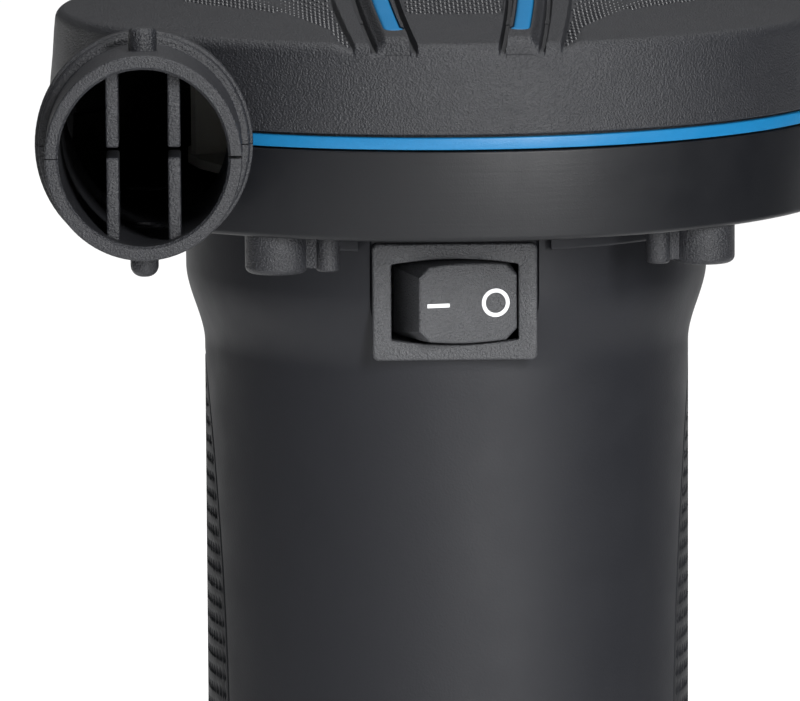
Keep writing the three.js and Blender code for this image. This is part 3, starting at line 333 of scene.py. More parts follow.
class Finish:
    """A procedural material. Each bump and variation has a grain: its size in mm and its detail."""

    def __init__(self, name, colour, roughness, metallic=0.0, specular=0.5):
        self.material = bpy.data.materials.new(name)
        self.material.use_nodes = True
        self.nodes = self.material.node_tree.nodes
        self.links = self.material.node_tree.links
        self.shader = self.nodes["Principled BSDF"]
        self.colour = colour
        self.shader.inputs["Base Color"].default_value = colour
        self.shader.inputs["Roughness"].default_value = roughness
        self.shader.inputs["Metallic"].default_value = metallic
        self.shader.inputs["Specular IOR Level"].default_value = specular
        self.place = self.nodes.new("ShaderNodeTexCoord").outputs["Object"]
        self.normal = None

    def noise(self, size_mm, detail=2.0, stretch=None):
        texture = self.nodes.new("ShaderNodeTexNoise")
        texture.inputs["Scale"].default_value = 1 / (size_mm * MM)
        texture.inputs["Detail"].default_value = detail
        source = self.place
        if stretch:
            mapping = self.nodes.new("ShaderNodeMapping")
            mapping.inputs["Scale"].default_value = stretch
            self.links.new(source, mapping.inputs["Vector"])
            source = mapping.outputs["Vector"]
        self.links.new(source, texture.inputs["Vector"])
        return texture.outputs["Fac"]

    def bump(self, grain, depth_mm):
        height = self.noise(*grain)
        node = self.nodes.new("ShaderNodeBump")
        node.inputs["Distance"].default_value = depth_mm * MM
        node.inputs["Strength"].default_value = 1.0
        self.links.new(height, node.inputs["Height"])
        if self.normal:
            self.links.new(self.normal, node.inputs["Normal"])
        self.normal = node.outputs["Normal"]
        self.links.new(self.normal, self.shader.inputs["Normal"])
        return self

    def vary(self, grain, low, high):
        height = self.noise(*grain)
        ramp = self.nodes.new("ShaderNodeMapRange")
        ramp.inputs["From Min"].default_value = 0.3
        ramp.inputs["From Max"].default_value = 0.7
        ramp.inputs["To Min"].default_value = low
        ramp.inputs["To Max"].default_value = high
        self.links.new(height, ramp.inputs["Value"])
        self.links.new(ramp.outputs["Result"], self.shader.inputs["Roughness"])
        return self

    def tint(self, grain, darker, lighter):
        height = self.noise(*grain)
        mix = self.nodes.new("ShaderNodeMix")
        mix.data_type = "RGBA"
        mix.inputs[6].default_value = tuple(c * darker for c in self.colour[:3]) + (1,)
        mix.inputs[7].default_value = tuple(c * lighter for c in self.colour[:3]) + (1,)
        self.links.new(height, mix.inputs[0])
        self.links.new(mix.outputs[2], self.shader.inputs["Base Color"])
        return self


CHARCOAL = shade(23, 24, 28)


def textured_plastic():
    finish = Finish("textured_plastic", CHARCOAL, 0.5, specular=0.42)
    finish.bump((0.26, 3), 0.21).bump((0.8, 1), 0.03)
    finish.vary((4, 3), 0.48, 0.56).tint((0.35, 2), 0.6, 1.5)
    return finish.material


def dot_plastic():
    finish = Finish("dot_plastic", CHARCOAL, 0.42, specular=0.6)
    finish.bump((0.2, 2), 0.02)
    finish.vary((4, 3), 0.36, 0.44).tint((1.5, 2), 0.9, 1.1)
    return finish.material


def fine_plastic():
    finish = Finish("fine_plastic", CHARCOAL, 0.54, specular=0.24)
    finish.bump((0.3, 2), 0.02).bump((9, 1), 0.05)
    finish.vary((6, 3), 0.52, 0.6).tint((3, 2), 0.95, 1.05)
    return finish.material


def satin_plastic():
    finish = Finish("satin_plastic", shade(15, 16, 19), 0.48, specular=0.26)
    finish.bump((0.2, 2), 0.012).bump((0.5, 1, (0.03, 0.03, 1)), 0.012)
    finish.vary((5, 3), 0.42, 0.5).tint((2, 2), 0.95, 1.05)
    return finish.material


def switch_plastic():
    finish = Finish("switch_plastic", shade(44, 45, 48), 0.52, specular=0.55)
    finish.bump((0.24, 3), 0.2)
    finish.vary((3, 2), 0.48, 0.56).tint((0.3, 2), 0.55, 1.45)
    return finish.material


def blue_plastic():
    finish = Finish("blue_plastic", shade(17, 94, 138), 0.5, specular=0.3)
    finish.bump((0.25, 2), 0.02)
    finish.vary((4, 2), 0.4, 0.5).tint((0.8, 3), 0.94, 1.07)
    return finish.material


def grip_rubber():
    finish = Finish("grip_rubber", shade(22, 23, 26), 0.66, specular=0.2)
    finish.bump((0.2, 2), 0.02)
    finish.vary((2, 3), 0.58, 0.68).tint((1.5, 2), 0.9, 1.1)
    return finish.material


def white_print():
    finish = Finish("white_print", shade(205, 206, 208), 0.6, specular=0.3)
    finish.bump((0.17, 2), 0.03).tint((0.3, 2), 0.92, 1.03)
    return finish.material


def metal(name, colour, roughness, drawn=(1, 1, 0.05)):
    finish = Finish(name, colour, roughness, metallic=1.0)
    finish.bump((0.2, 2, drawn), 0.01)
    finish.vary((1.2, 3), roughness - 0.06, roughness + 0.08)
    finish.tint((2.5, 2), 0.9, 1.05)
    return finish.material


def plain_plastic(name, colour, roughness):
    finish = Finish(name, colour, roughness)
    finish.bump((0.25, 2), 0.012)
    finish.vary((3, 3), roughness - 0.05, roughness + 0.05)
    finish.tint((4, 2), 0.95, 1.04)
    return finish.material


MATERIALS = {
    "textured": textured_plastic(),
    "dots": dot_plastic(),
    "fine": fine_plastic(),
    "satin": satin_plastic(),
    "switch": switch_plastic(),
    "blue": blue_plastic(),
    "rubber": grip_rubber(),
    "print": white_print(),
    "steel": metal("zinc_steel", shade(190, 193, 196), 0.32),
    "brass": metal("brass_strip", shade(205, 170, 92), 0.32),
    "copper": metal("copper_winding", shade(190, 112, 66), 0.38),
    "magnet": plain_plastic("ferrite", shade(52, 52, 54), 0.7),
    "black": plain_plastic("black_nylon", shade(30, 30, 32), 0.5),
    "pale": plain_plastic("pale_nylon", shade(214, 213, 206), 0.45),
    "jacket": plain_plastic("wire_jacket", shade(28, 28, 30), 0.45),
    "cell": plain_plastic("cell_sleeve", shade(96, 102, 108), 0.35),
    "seal": plain_plastic("seal_rubber", shade(26, 26, 27), 0.7),
}


def finish_piece(obj, material, body, nodes=(), angle=32):
    obj.data.materials.clear()
    obj.data.materials.append(MATERIALS[material])
    smooth(obj, angle)
    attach(obj, body)
    if nodes:
        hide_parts(*nodes)
    return obj


# ---- Upper shell: dome, arms, grooves, rim, wall and intake spigot ----
def arm_centre(y):
    return ARM_HALF_SPACING + ARM_BOW * (1 - (y / DOME_START) ** 2)


def arm_x(radius, offset):
    y = 0.95 * radius
    for _ in range(12):
        x = min(arm_centre(y) + offset, 0.97 * radius)
        y = math.sqrt(radius ** 2 - x ** 2)
    return x


def step(value, low, high):
    share = np.clip((value - low) / (high - low), 0, 1)
    return share * share * (3 - 2 * share)


TEXTURE_EDGE = 37.5
TEXTURE_EDGE_MIDDLE = 36.7
TEXTURE_SINK = 0.22
STRIP_SINK = 0.85


def strip_edges(radius):
    inner = 4.4 + 0.02 * (DOME_START - radius)
    outer = 6.9 + 0.11 * np.maximum(0, 45.5 - radius) ** 2
    return inner, outer


# How far the arm's bar has risen out of its channel at an offset across it, from 0 to 1.
def bar_share(offset):
    inner = step(offset, BAR_EDGES[0] - 0.08, BAR_EDGES[0] + 0.22)
    slope = 1 - 0.5 * step(offset, 0.4, 1.6)
    outer = 1 - step(offset, BAR_EDGES[1] - 0.22, BAR_EDGES[1] + 0.05)
    return inner * slope * outer


# The sunk share of everything that isn't the bar, from 0 (dome level) to 1 (channel floor).
def sunk_share(offset, radius):
    near, far = CHANNEL_EDGES
    channel = step(offset, near - 0.3, near) * (1 - step(offset, far, far + 0.3))
    channel = channel * step(radius, ARM_INNER - 0.5, ARM_INNER + 0.3)
    inner, outer = strip_edges(radius)
    across = np.clip((offset - inner) / (outer - inner), 0, 1)
    in_strip = step(offset, inner - 0.15, inner + 0.25)
    strip = in_strip * STRIP_SINK * np.power(1 - across, 1.2)
    middle = (1 - step(radius, TEXTURE_EDGE_MIDDLE - 0.35, TEXTURE_EDGE_MIDDLE)) * (
        1 - step(offset, near - 0.7, near - 0.4))
    field = (1 - step(radius, TEXTURE_EDGE - 0.35, TEXTURE_EDGE)) * in_strip
    field = np.maximum(field, middle) * step(radius, LAND_RADIUS + 1.5, LAND_RADIUS + 1.9) * TEXTURE_SINK
    sink = np.maximum(strip * step(radius, 26, 34), field) / CHANNEL_DEPTH
    return np.maximum(channel, sink)


# Rows of (radius, height) from the land to the wall, for the plain dome, the channel and the bar.
def top_rows():
    start = 48.7
    radii = np.concatenate([
        np.arange(13.4, 36.1, 0.55), np.arange(36.1, 37.9, 0.12), np.arange(37.9, start, 0.4)])
    level = np.where(radii < LAND_RADIUS, DOME_TOP, RIM_TOP + (DOME_START - radii) * DOME_SLOPE)
    start_level = RIM_TOP + (DOME_START - start) * DOME_SLOPE
    wall_top = HEAD_RADIUS - UPPER_DRAFT
    low = (HEAD_RADIUS - UPPER_DRAFT * 0.72, RIM_TOP - 3.2)
    corner = RIM_TOP + (DOME_START - wall_top) * DOME_SLOPE
    plain = rounded([(start, start_level), (wall_top, corner, RIM_FILLET), low], 14, False)
    floor = corner - CHANNEL_DEPTH
    channel = rounded(
        [(start, start_level - CHANNEL_DEPTH), (wall_top + 0.08, floor, 0.9), low], 10, False)
    face = wall_top - 0.35
    bar = rounded([
        (start, start_level + ARM_RISE), (face, corner + ARM_RISE, 0.85),
        (face + 0.02, floor - 0.12, 0.1), (wall_top + 0.1, floor - 0.14, 0.35), low], 8, False)
    rims = [resample(curve, 30) for curve in (plain, channel, bar)]
    rises = (0, -CHANNEL_DEPTH, ARM_RISE)
    return [np.concatenate([np.stack([radii, level + rise], -1), rim]) for rise, rim in zip(rises, rims)]


LAST_FREE = 2.9
ARM_OFFSETS = np.concatenate([
    np.linspace(-3.9, -2.0, 20), np.linspace(-1.9, 1.3, 18), np.linspace(1.4, LAST_FREE, 16),
    np.linspace(3.1, 4.0, 5), np.linspace(4.1, 5.3, 13), np.linspace(5.5, 8.5, 13)])
FAN = np.linspace(0, 1, 64)[1:]
BETWEEN = np.linspace(0, 1, 9)[:-1]


# Column angles and arm offsets across one quarter of the head, from the front line round to the side.
def quarter_columns(radius):
    inside = max(radius, ARM_INNER)
    first = arm_x(inside, ARM_OFFSETS[0])
    free = ARM_OFFSETS <= LAST_FREE
    xs = [arm_x(inside, o) for o in ARM_OFFSETS[free]]
    last = math.asin(min(0.96, xs[-1] / inside))
    far = math.asin(min(0.975, arm_x(inside, ARM_OFFSETS[-1]) / inside))
    far = max(far, last + 0.12)
    outer = ARM_OFFSETS[~free]
    blend = (outer - ARM_OFFSETS[free][-1]) / (outer[-1] - ARM_OFFSETS[free][-1])
    true_angles = [math.asin(min(0.99, arm_x(inside, o) / inside)) for o in outer]
    even_angles = last + (far - last) * blend
    trust = step(inside, 24, 31)
    outer_angles = trust * np.array(true_angles) + (1 - trust) * even_angles
    far = outer_angles[-1]
    between = np.arcsin(BETWEEN * first / inside)
    arm = np.arcsin(np.minimum(0.99, np.array(xs) / inside))
    fan = far + (math.pi / 2 - far) * FAN
    angles = np.concatenate([between, arm, outer_angles, fan])
    offsets = np.concatenate([BETWEEN * 0 - 6, ARM_OFFSETS, FAN * 60 + ARM_OFFSETS[-1]])
    return angles, offsets


def upper_top_grid():
    plain, channel, bar = top_rows()
    rows = []
    for p, c, b in zip(plain, channel, bar):
        radius = p[0]
        angles, offsets = quarter_columns(radius)
        sunk = sunk_share(offsets, radius)[:, None]
        risen = (bar_share(offsets) * step(radius, ARM_INNER, ARM_INNER + 0.5))[:, None]
        on_arm = ((offsets > CHANNEL_EDGES[0] + 0.02) & (offsets < CHANNEL_EDGES[1] - 0.02))[:, None]
        section = np.where(on_arm, c + (b - c) * risen, p + (c - p) * sunk)
        section = np.where(on_arm & (radius < ARM_INNER + 0.3), p + (c - p) * sunk, section)
        out, height = section.T
        quarter = np.stack([out * np.sin(angles), -out * np.cos(angles), height], -1)
        half = np.concatenate([quarter, (quarter[:-1] * (1, -1, 1))[::-1]])
        other = half[1:-1][::-1] * (-1, 1, 1)
        rows.append(np.concatenate([half, other]))
    return np.stack(rows)


def ring_rows(profile, angles):
    flat = np.asarray(profile, float)
    rows = np.empty((len(flat), len(angles), 3))
    rows[..., 0] = flat[:, :1] * np.sin(angles)
    rows[..., 1] = -flat[:, :1] * np.cos(angles)
    rows[..., 2] = flat[:, 1:]
    return rows


def upper_blank():
    top = upper_top_grid()
    inner_angles = np.arctan2(top[0][:, 0], -top[0][:, 1])
    outer_angles = np.arctan2(top[-1][:, 0], -top[-1][:, 1])
    spigot = rounded([
        (PORT_BORE - 1, DOME_TOP - CEILING), (PORT_BORE - 1, INTAKE_LEDGE, 0.15), (PORT_BORE, INTAKE_LEDGE),
        (PORT_BORE, INTAKE_TOP, 0.3), (PORT_RADIUS, INTAKE_TOP, 0.35), (PORT_RADIUS, DOME_TOP, 0.6),
        (13.2, DOME_TOP)], 5, False)
    slope_foot = DOME_TOP - CEILING
    under_rim = RIM_TOP - CEILING
    lip_radius = HEAD_RADIUS - 1.3
    below = rounded([
        (HEAD_RADIUS - 0.5, UPPER_BOTTOM + 5), (HEAD_RADIUS, UPPER_BOTTOM, 0.2),
        (lip_radius, UPPER_BOTTOM), (lip_radius, LOWER_TOP + 0.3, 0.15),
        (CHAMBER_RADIUS, LOWER_TOP + 0.3, 0.15), (CHAMBER_RADIUS, UPPER_BOTTOM),
        (CHAMBER_RADIUS - UPPER_DRAFT, under_rim, 0.8), (LAND_RADIUS, slope_foot - 0.4, 2),
        (PORT_BORE + 1, slope_foot)], 5, False)
    rows = np.concatenate([ring_rows(spigot, inner_angles), top, ring_rows(below, outer_angles)])
    return wrapped_grid("upper_shell", rows)


# ---- Outlet nozzle, split level with its axis ----
def nozzle_turned(name, profile, segments=96):
    piece = spin(lathe(name, profile, segments), 90, "X")
    return shift(turn(piece, Matrix.Diagonal((1, 1, NOZZLE_STRETCH, 1))), NOZZLE_X, 0, NOZZLE_Z)


def nozzle_blank(clearance=0.0):
    port = PORT_RADIUS + clearance
    sleeve = SLEEVE_RADIUS + clearance
    pipe = TUBE_RADIUS + clearance
    return nozzle_turned("nozzle", rounded([
        (0, -NOZZLE_FRONT), (port, -NOZZLE_FRONT, 0.3), (port, -SLEEVE_FRONT, 0.25),
        (sleeve - 0.45, -SLEEVE_FRONT, 0.45), (sleeve - 0.4, -SLEEVE_FRONT - 1.2, 0.12),
        (sleeve, -SLEEVE_FRONT - 1.3, 0.2), (sleeve, -SLEEVE_BACK - clearance, 0.4),
        (pipe, -SLEEVE_BACK - clearance), (pipe, 8 - clearance), (0, 8 - clearance)], 4))


def nozzle_bore():
    return nozzle_turned("bore", rounded([
        (0, 9), (PORT_BORE, 9), (PORT_BORE, -NOZZLE_FRONT - 0.3), (PORT_BORE + 0.3, -NOZZLE_FRONT),
        (PORT_BORE + 0.3, -NOZZLE_FRONT + 1), (0, -NOZZLE_FRONT + 1)]))


def half_space(side, gap=SPLIT):
    near = NOZZLE_Z + side * gap / 2
    far = NOZZLE_Z + side * 20
    return slab("half", (NOZZLE_X - 20, NOZZLE_FRONT - 2, min(near, far)),
                (NOZZLE_X + 20, 1, max(near, far)))


# The space the impeller turns in, kept clear of the nozzle.
def chamber_room():
    floor, top = HEAD_BASE + HEAD_WALL, RIM_TOP - CEILING
    return lathe("chamber", [
        (0, floor), (CHAMBER_RADIUS, floor), (CHAMBER_RADIUS - UPPER_DRAFT, top), (0, top)])


def nozzle_half(side):
    notch = slab("notch", (NOZZLE_X + PORT_BORE - 1, NOZZLE_FRONT - 1, NOZZLE_Z - 0.1),
                 (NOZZLE_X + SLEEVE_RADIUS, NOZZLE_FRONT + 1.4, NOZZLE_Z + 0.28))
    return cut(keep(nozzle_blank(), half_space(side)), notch, chamber_room())


def nozzle_pin(side):
    root = PORT_BORE * NOZZLE_STRETCH + 0.5
    top = PIN_REACH if side > 0 else -root
    low = root if side > 0 else -PIN_REACH
    tip_top = 0.75 if side > 0 else 0
    tip_low = 1.4 if side < 0 else 0
    outline = rounded([(0, low), (PIN_RADIUS, low, tip_low), (PIN_RADIUS, top, tip_top), (0, top)], 8)
    pin = lathe("pin", outline, 40)
    return shift(pin, NOZZLE_X, PIN_Y, NOZZLE_Z)


def guard(side, hand):
    near, away = (NOZZLE_X + hand * GUARD_OFFSET + way * GUARD_THICK / 2 for way in (-1, 1))
    inner = NOZZLE_Z + (1.0 if side > 0 else -0.2)
    far = NOZZLE_Z + side * (PORT_BORE + 1.3)
    back = GUARD_FRONT + GUARD_DEPTH
    bar = bevel(slab("guard", (near, GUARD_FRONT, min(inner, far)), (away, back, max(inner, far))), 0.28)
    edge = PORT_BORE + 0.5
    core = nozzle_turned("core", [
        (0, -GUARD_FRONT + 1), (edge, -GUARD_FRONT + 1), (edge, -back - 1), (0, -back - 1)])
    return keep(bar, core)


def ribbon(path, width):
    flat = np.asarray(path, float)
    ahead = np.roll(flat, -1, 0)
    ahead[-1] = flat[-1]
    behind = np.roll(flat, 1, 0)
    behind[0] = flat[0]
    way = ahead - behind
    way /= np.hypot(way[:, :1], way[:, 1:])
    normal = np.stack([-way[:, 1], way[:, 0]], -1) * width / 2
    return np.concatenate([flat + normal, (flat - normal)[::-1]]).tolist()


def scroll(low, high):
    turns = np.linspace(0, 1, 61)
    radius = 36.6 + 5.8 * turns
    angle = np.radians(227 + 313 * turns)
    spiral = np.stack([radius * np.cos(angle), radius * np.sin(angle)], -1).tolist()
    tongue_x = NOZZLE_X + PORT_BORE + 1.1
    root_y = -math.sqrt(CHAMBER_RADIUS ** 2 - tongue_x ** 2) - 0.8
    path = [(tongue_x, root_y), (tongue_x + 0.8, root_y + 9), *spiral, (-CHAMBER_RADIUS - 0.4, -9)]
    return prism("scroll", ribbon(path, 1.6), low, high)


def upper_shell():
    shell = join(upper_blank(), nozzle_half(1))
    wall_face = HEAD_RADIUS - 1.2
    inside = lathe("inside", [(0, LOWER_TOP), (wall_face, LOWER_TOP), (wall_face, RIM_TOP - 1.2),
                              (DOME_START, RIM_TOP - 1), (LAND_RADIUS, DOME_TOP - 1), (0, DOME_TOP - 1)], 96)
    shell = join(shell, keep(scroll(LOWER_TOP + 0.3, DOME_TOP), inside))
    shell = cut(shell, nozzle_bore(), keep(nozzle_blank(0.15), half_space(-1, -SPLIT)))
    shell = join(shell, nozzle_pin(1), guard(1, -1), guard(1, 1))
    for hand in (-1, 1):
        pin = lathe("pin", rounded([(0, PORT_BORE + 0.8), (PIN_RADIUS, PORT_BORE + 0.8),
                                    (PIN_RADIUS, PIN_REACH, 0.75), (0, PIN_REACH)], 8), 40)
        shell = join(shell, shift(spin(pin, 90 * hand, "Y"), 0, 0, INTAKE_PIN_Z))
    for angle in BOSS_ANGLES:
        x, y = around(BOSS_CIRCLE, angle)
        post = rod("post", POST_RADIUS, HEAD_BASE + HEAD_WALL + 0.3, RIM_TOP - 0.6, 32)
        shell = join(shell, cut(shift(post, x, y, 0), nozzle_bore()))
        hole = lathe("hole", [(0, 150), (PILOT_RADIUS, 150), (PILOT_RADIUS, 161), (0, 162)], 24)
        shell = cut(shell, shift(hole, x, y, 0))
    shell = cut(shell, *[insert_solid(hand, way, 0.09, "recess") for hand in (-1, 1) for way in (-1, 1)])
    return finish_piece(shell, "textured", "body", ["upper_volute"], 40)


# ---- Blue inserts on the arms ----
def insert_solid(hand, way, clearance=0.0, name=""):
    start, end = INSERT_ENDS[0] - clearance, INSERT_ENDS[1] + clearance
    half = INSERT_WIDTH / 2 + clearance
    share = np.linspace(0, 1, 15)
    end_curve = half * (1 - np.cos(share * math.pi / 2))
    along = np.concatenate([start + end_curve, np.linspace(start + half, end - half, 60)[1:-1],
                            end - end_curve[::-1]])
    across = np.linspace(-1, 1, 15)
    top_rise = ARM_RISE - 0.05 + (0.8 if clearance else 0)
    rows = []
    for y in along:
        near = min(y - start, end - y)
        width = max(half * math.sqrt(max(0.0, 1 - (1 - min(near / half, 1)) ** 2)), 0.02)
        foot = 0.45 * step(y, end - 1.7, end - 0.9)
        centre = arm_centre(y) + INSERT_CENTRE
        xs = centre + across * width - foot * (across < 0) * (-across)
        edge = 0.22 * np.abs(across) ** 8 + 0.06 * across ** 2
        end_round = 0.2 * (1 - min(near / 0.45, 1)) ** 2
        radius = np.hypot(xs, y)
        level = RIM_TOP + (DOME_START - radius) * DOME_SLOPE
        top = level + top_rise - (0 if clearance else 1) * (edge + end_round)
        bottom = level + ARM_RISE - 0.6 - clearance
        upper = np.stack([hand * xs, np.full_like(xs, way * y), top], -1)
        lower = np.stack([hand * xs, np.full_like(xs, way * y), bottom], -1)
        rows.append(np.concatenate([upper, lower[::-1]]))
    grid = np.stack(rows)
    index, faces = open_tube(*grid.shape[:2])
    faces += [index[0], index[-1][::-1]]
    return tidy_normals(new_object(name, grid.reshape(-1, 3), faces))


def inserts():
    for end, way in (("front", -1), ("back", 1)):
        for side, hand in (("left", -1), ("right", 1)):
            node = f"{end}_{side}_insert"
            piece = insert_solid(hand, way, 0.0, f"{node}_piece")
            finish_piece(piece, "blue", "body", [node], 50)


# ---- Grain of small raised dots inside the dome's circle and in the strips ----
ARM_FOOT = 14.0
DOT_PITCH = 1.06
DOT_RADIUS = 0.34
DOT_HEIGHT = 0.25


def dome_dots():
    rings = [(0.0, DOT_HEIGHT), (0.45, DOT_HEIGHT * 0.8), (0.8, DOT_HEIGHT * 0.42), (1.0, 0.0), (0.9, -0.12)]
    sides = 10
    turns = np.arange(sides) * TAU / sides
    cap = [(0, 0, rings[0][1])]
    cap += [(DOT_RADIUS * share * math.cos(t), DOT_RADIUS * share * math.sin(t), z)
            for share, z in rings[1:] for t in turns]
    cap = np.array(cap)
    loops = len(rings) - 1
    cap_faces = [[0, 1 + k, 1 + (k + 1) % sides] for k in range(sides)]
    for ring in range(loops - 1):
        a, b = 1 + ring * sides, 1 + (ring + 1) * sides
        cap_faces += [[a + k, b + k, b + (k + 1) % sides, a + (k + 1) % sides] for k in range(sides)]
    last = 1 + (loops - 1) * sides
    cap_faces.append([last + k for k in range(sides)][::-1])
    points, faces = [], []
    row_gap = DOT_PITCH * math.sqrt(3) / 2
    reach = int(DOME_START / row_gap) + 1
    for j in range(-reach, reach + 1):
        for i in range(-reach, reach + 1):
            x = (i + 0.5 * (j % 2)) * DOT_PITCH
            y = j * row_gap
            radius = math.hypot(x, y)
            if radius < LAND_RADIUS + 2.5 or radius > DOME_START + 0.4:
                continue
            offset = abs(x) - arm_centre(abs(y))
            inner, outer = strip_edges(radius)
            if abs(y) < ARM_FOOT and offset < inner:
                continue
            if offset < 0:
                in_field = offset < CHANNEL_EDGES[0] - 0.9 and radius < TEXTURE_EDGE_MIDDLE - 0.5
            else:
                in_field = offset > inner + 0.45 and (radius < TEXTURE_EDGE - 0.5 or offset < outer - 0.5)
            if not in_field:
                continue
            sink = float(sunk_share(np.array([offset]), radius)[0]) * CHANNEL_DEPTH
            level = RIM_TOP + (DOME_START - radius) * DOME_SLOPE - sink
            first = len(points) * len(cap)
            points.append(cap + (x, y, level))
            faces += [[first + k for k in face] for face in cap_faces]
    dots = new_object("dome_dots", np.concatenate(points), faces)
    return finish_piece(tidy_normals(dots), "dots", "body", (), 60)


# ---- Lower shell with its screw bosses ----
def boss(angle):
    x, y = around(BOSS_CIRCLE, angle)
    lean = -math.copysign(1, math.sin(math.radians(angle)))
    px, py = around(PEG_CIRCLE, angle + lean * PEG_STEP)
    inside = HEAD_BASE + 0.4
    column = lathe("boss", rounded([
        (0, BOSS_LOW), (BOSS_RADIUS, BOSS_LOW, 0.9), (BOSS_RADIUS, inside), (0, inside)]), 64)
    peg = lathe("peg", rounded([
        (0, BOSS_LOW + 0.3), (PEG_RADIUS, BOSS_LOW + 0.3, 0.4), (PEG_RADIUS, inside), (0, inside)], 4), 32)
    web = prism("web", ribbon([(x, y), (px, py)], 1.5), BOSS_LOW + 0.7, inside)
    return join(shift(column, x, y, 0), shift(peg, px, py, 0), web)


def screw_hole(x, y, head_from):
    hole = lathe("hole", [(0, 140), (2.6, 140), (2.6, head_from), (PILOT_RADIUS, head_from),
                          (PILOT_RADIUS, 153), (0, 153)], 32)
    return shift(hole, x, y, 0)


# Everything of the nozzle that stands outside the round head.
def nozzle_region():
    reach = PIN_REACH + 2
    region = slab("region", (NOZZLE_X - reach, NOZZLE_FRONT - 1, NOZZLE_Z - reach),
                  (NOZZLE_X + reach, -10, NOZZLE_Z + 1))
    return cut(region, rod("head", HEAD_RADIUS, 140, 170, 256))


def lower_shell():
    foot = HEAD_RADIUS - LOWER_DRAFT
    floor_top = HEAD_BASE + HEAD_WALL
    profile = rounded([
        (3.3, HEAD_BASE, 0.2), (foot, HEAD_BASE, 0.7), (HEAD_RADIUS, LOWER_TOP, 0.22),
        (CHAMBER_RADIUS, LOWER_TOP, 0.2), (CHAMBER_RADIUS, floor_top, 0.8), (3.3, floor_top, 0.2)], 6)
    shell = join(lathe("lower_shell", profile, 256), nozzle_half(-1), scroll(HEAD_BASE + 1, LOWER_TOP))
    shell = cut(shell, nozzle_bore())
    bore_floor = NOZZLE_Z - PORT_BORE * NOZZLE_STRETCH
    mark = tube("mark", 1.75, 2.1, bore_floor - 0.3, bore_floor + 0.3, 40)
    shell = join(shell, nozzle_pin(-1), guard(-1, -1), guard(-1, 1), shift(mark, NOZZLE_X, MARK_Y, 0))
    shell = cut(shell, *[screw_hole(*around(BOSS_CIRCLE, angle), SCREW_SEAT) for angle in BOSS_ANGLES])
    small = [around(BODY_SCREW_CIRCLE, angle) for angle in BODY_SCREW_ANGLES] + [(-8, 0), (8, 0)]
    for x, y in small:
        shell = cut(shell, shift(rod("hole", 1.5, 148, 154, 24), x, y, 0))
    nozzle = link(bpy.data.objects.new("lower_nozzle", shell.data.copy()))
    finish_piece(keep(nozzle, nozzle_region()), "textured", "body", (), 40)
    return finish_piece(cut(shell, nozzle_region()), "satin", "body", ["lower_volute"], 40)


def screw_bosses():
    bosses = join(*[boss(angle) for angle in BOSS_ANGLES])
    bosses = cut(bosses, *[screw_hole(*around(BOSS_CIRCLE, angle), SCREW_SEAT) for angle in BOSS_ANGLES])
    bosses.name = "screw_bosses"
    return finish_piece(bosses, "textured", "body", (), 40)


def accent_ring():
    outer = HEAD_RADIUS - 0.1
    inner = outer - 0.9
    ring = lathe("accent_band", rounded([
        (inner, RING_BOTTOM), (outer, RING_BOTTOM, 0.14), (outer, RING_TOP, 0.18),
        (inner, RING_TOP)], 4), 256)
    return finish_piece(cut(ring, nozzle_blank(0.2)), "blue", "body", ["accent_ring"], 45)


# ---- Grip body ----
def neck_curve(inset):
    share = np.linspace(0, 1, 33)
    ease = share * share * (3 - 2 * share)
    drop = NECK_BOTTOM + (NECK_TOP - NECK_BOTTOM) * share
    radius = GRIP_RADIUS + (NECK_RADIUS - GRIP_RADIUS) * ease - inset
    return np.stack([radius, HEAD_BASE - drop], -1).tolist()


def sector(inner, outer, start, end, low, high):
    angles = np.linspace(start, end, max(3, int(end - start)))
    outline = [around(outer, a) for a in angles] + [around(inner, a) for a in angles[::-1]]
    return prism("sector", outline, low, high)


def pad_pocket(side):
    wide, tall = PAD_HALF_WIDTH + 0.25, PAD_HALF_HEIGHT + 0.25
    turns = np.arange(96) * TAU / 96
    outline = [(wide * math.cos(t), PAD_CENTRE + tall * math.sin(t)) for t in turns]
    pocket = prism("pocket", outline, 20, 40)
    basis = Matrix(((0, 0, side, 0), (1, 0, 0, 0), (0, 1, 0, 0), (0, 0, 0, 1)))
    turn(pocket, basis)
    tidy_normals(pocket)
    floor = GRIP_RADIUS - PAD_DEPTH - 0.15
    return keep(tube("skin", floor, 40, 0, HEAD_BASE, 192), pocket)


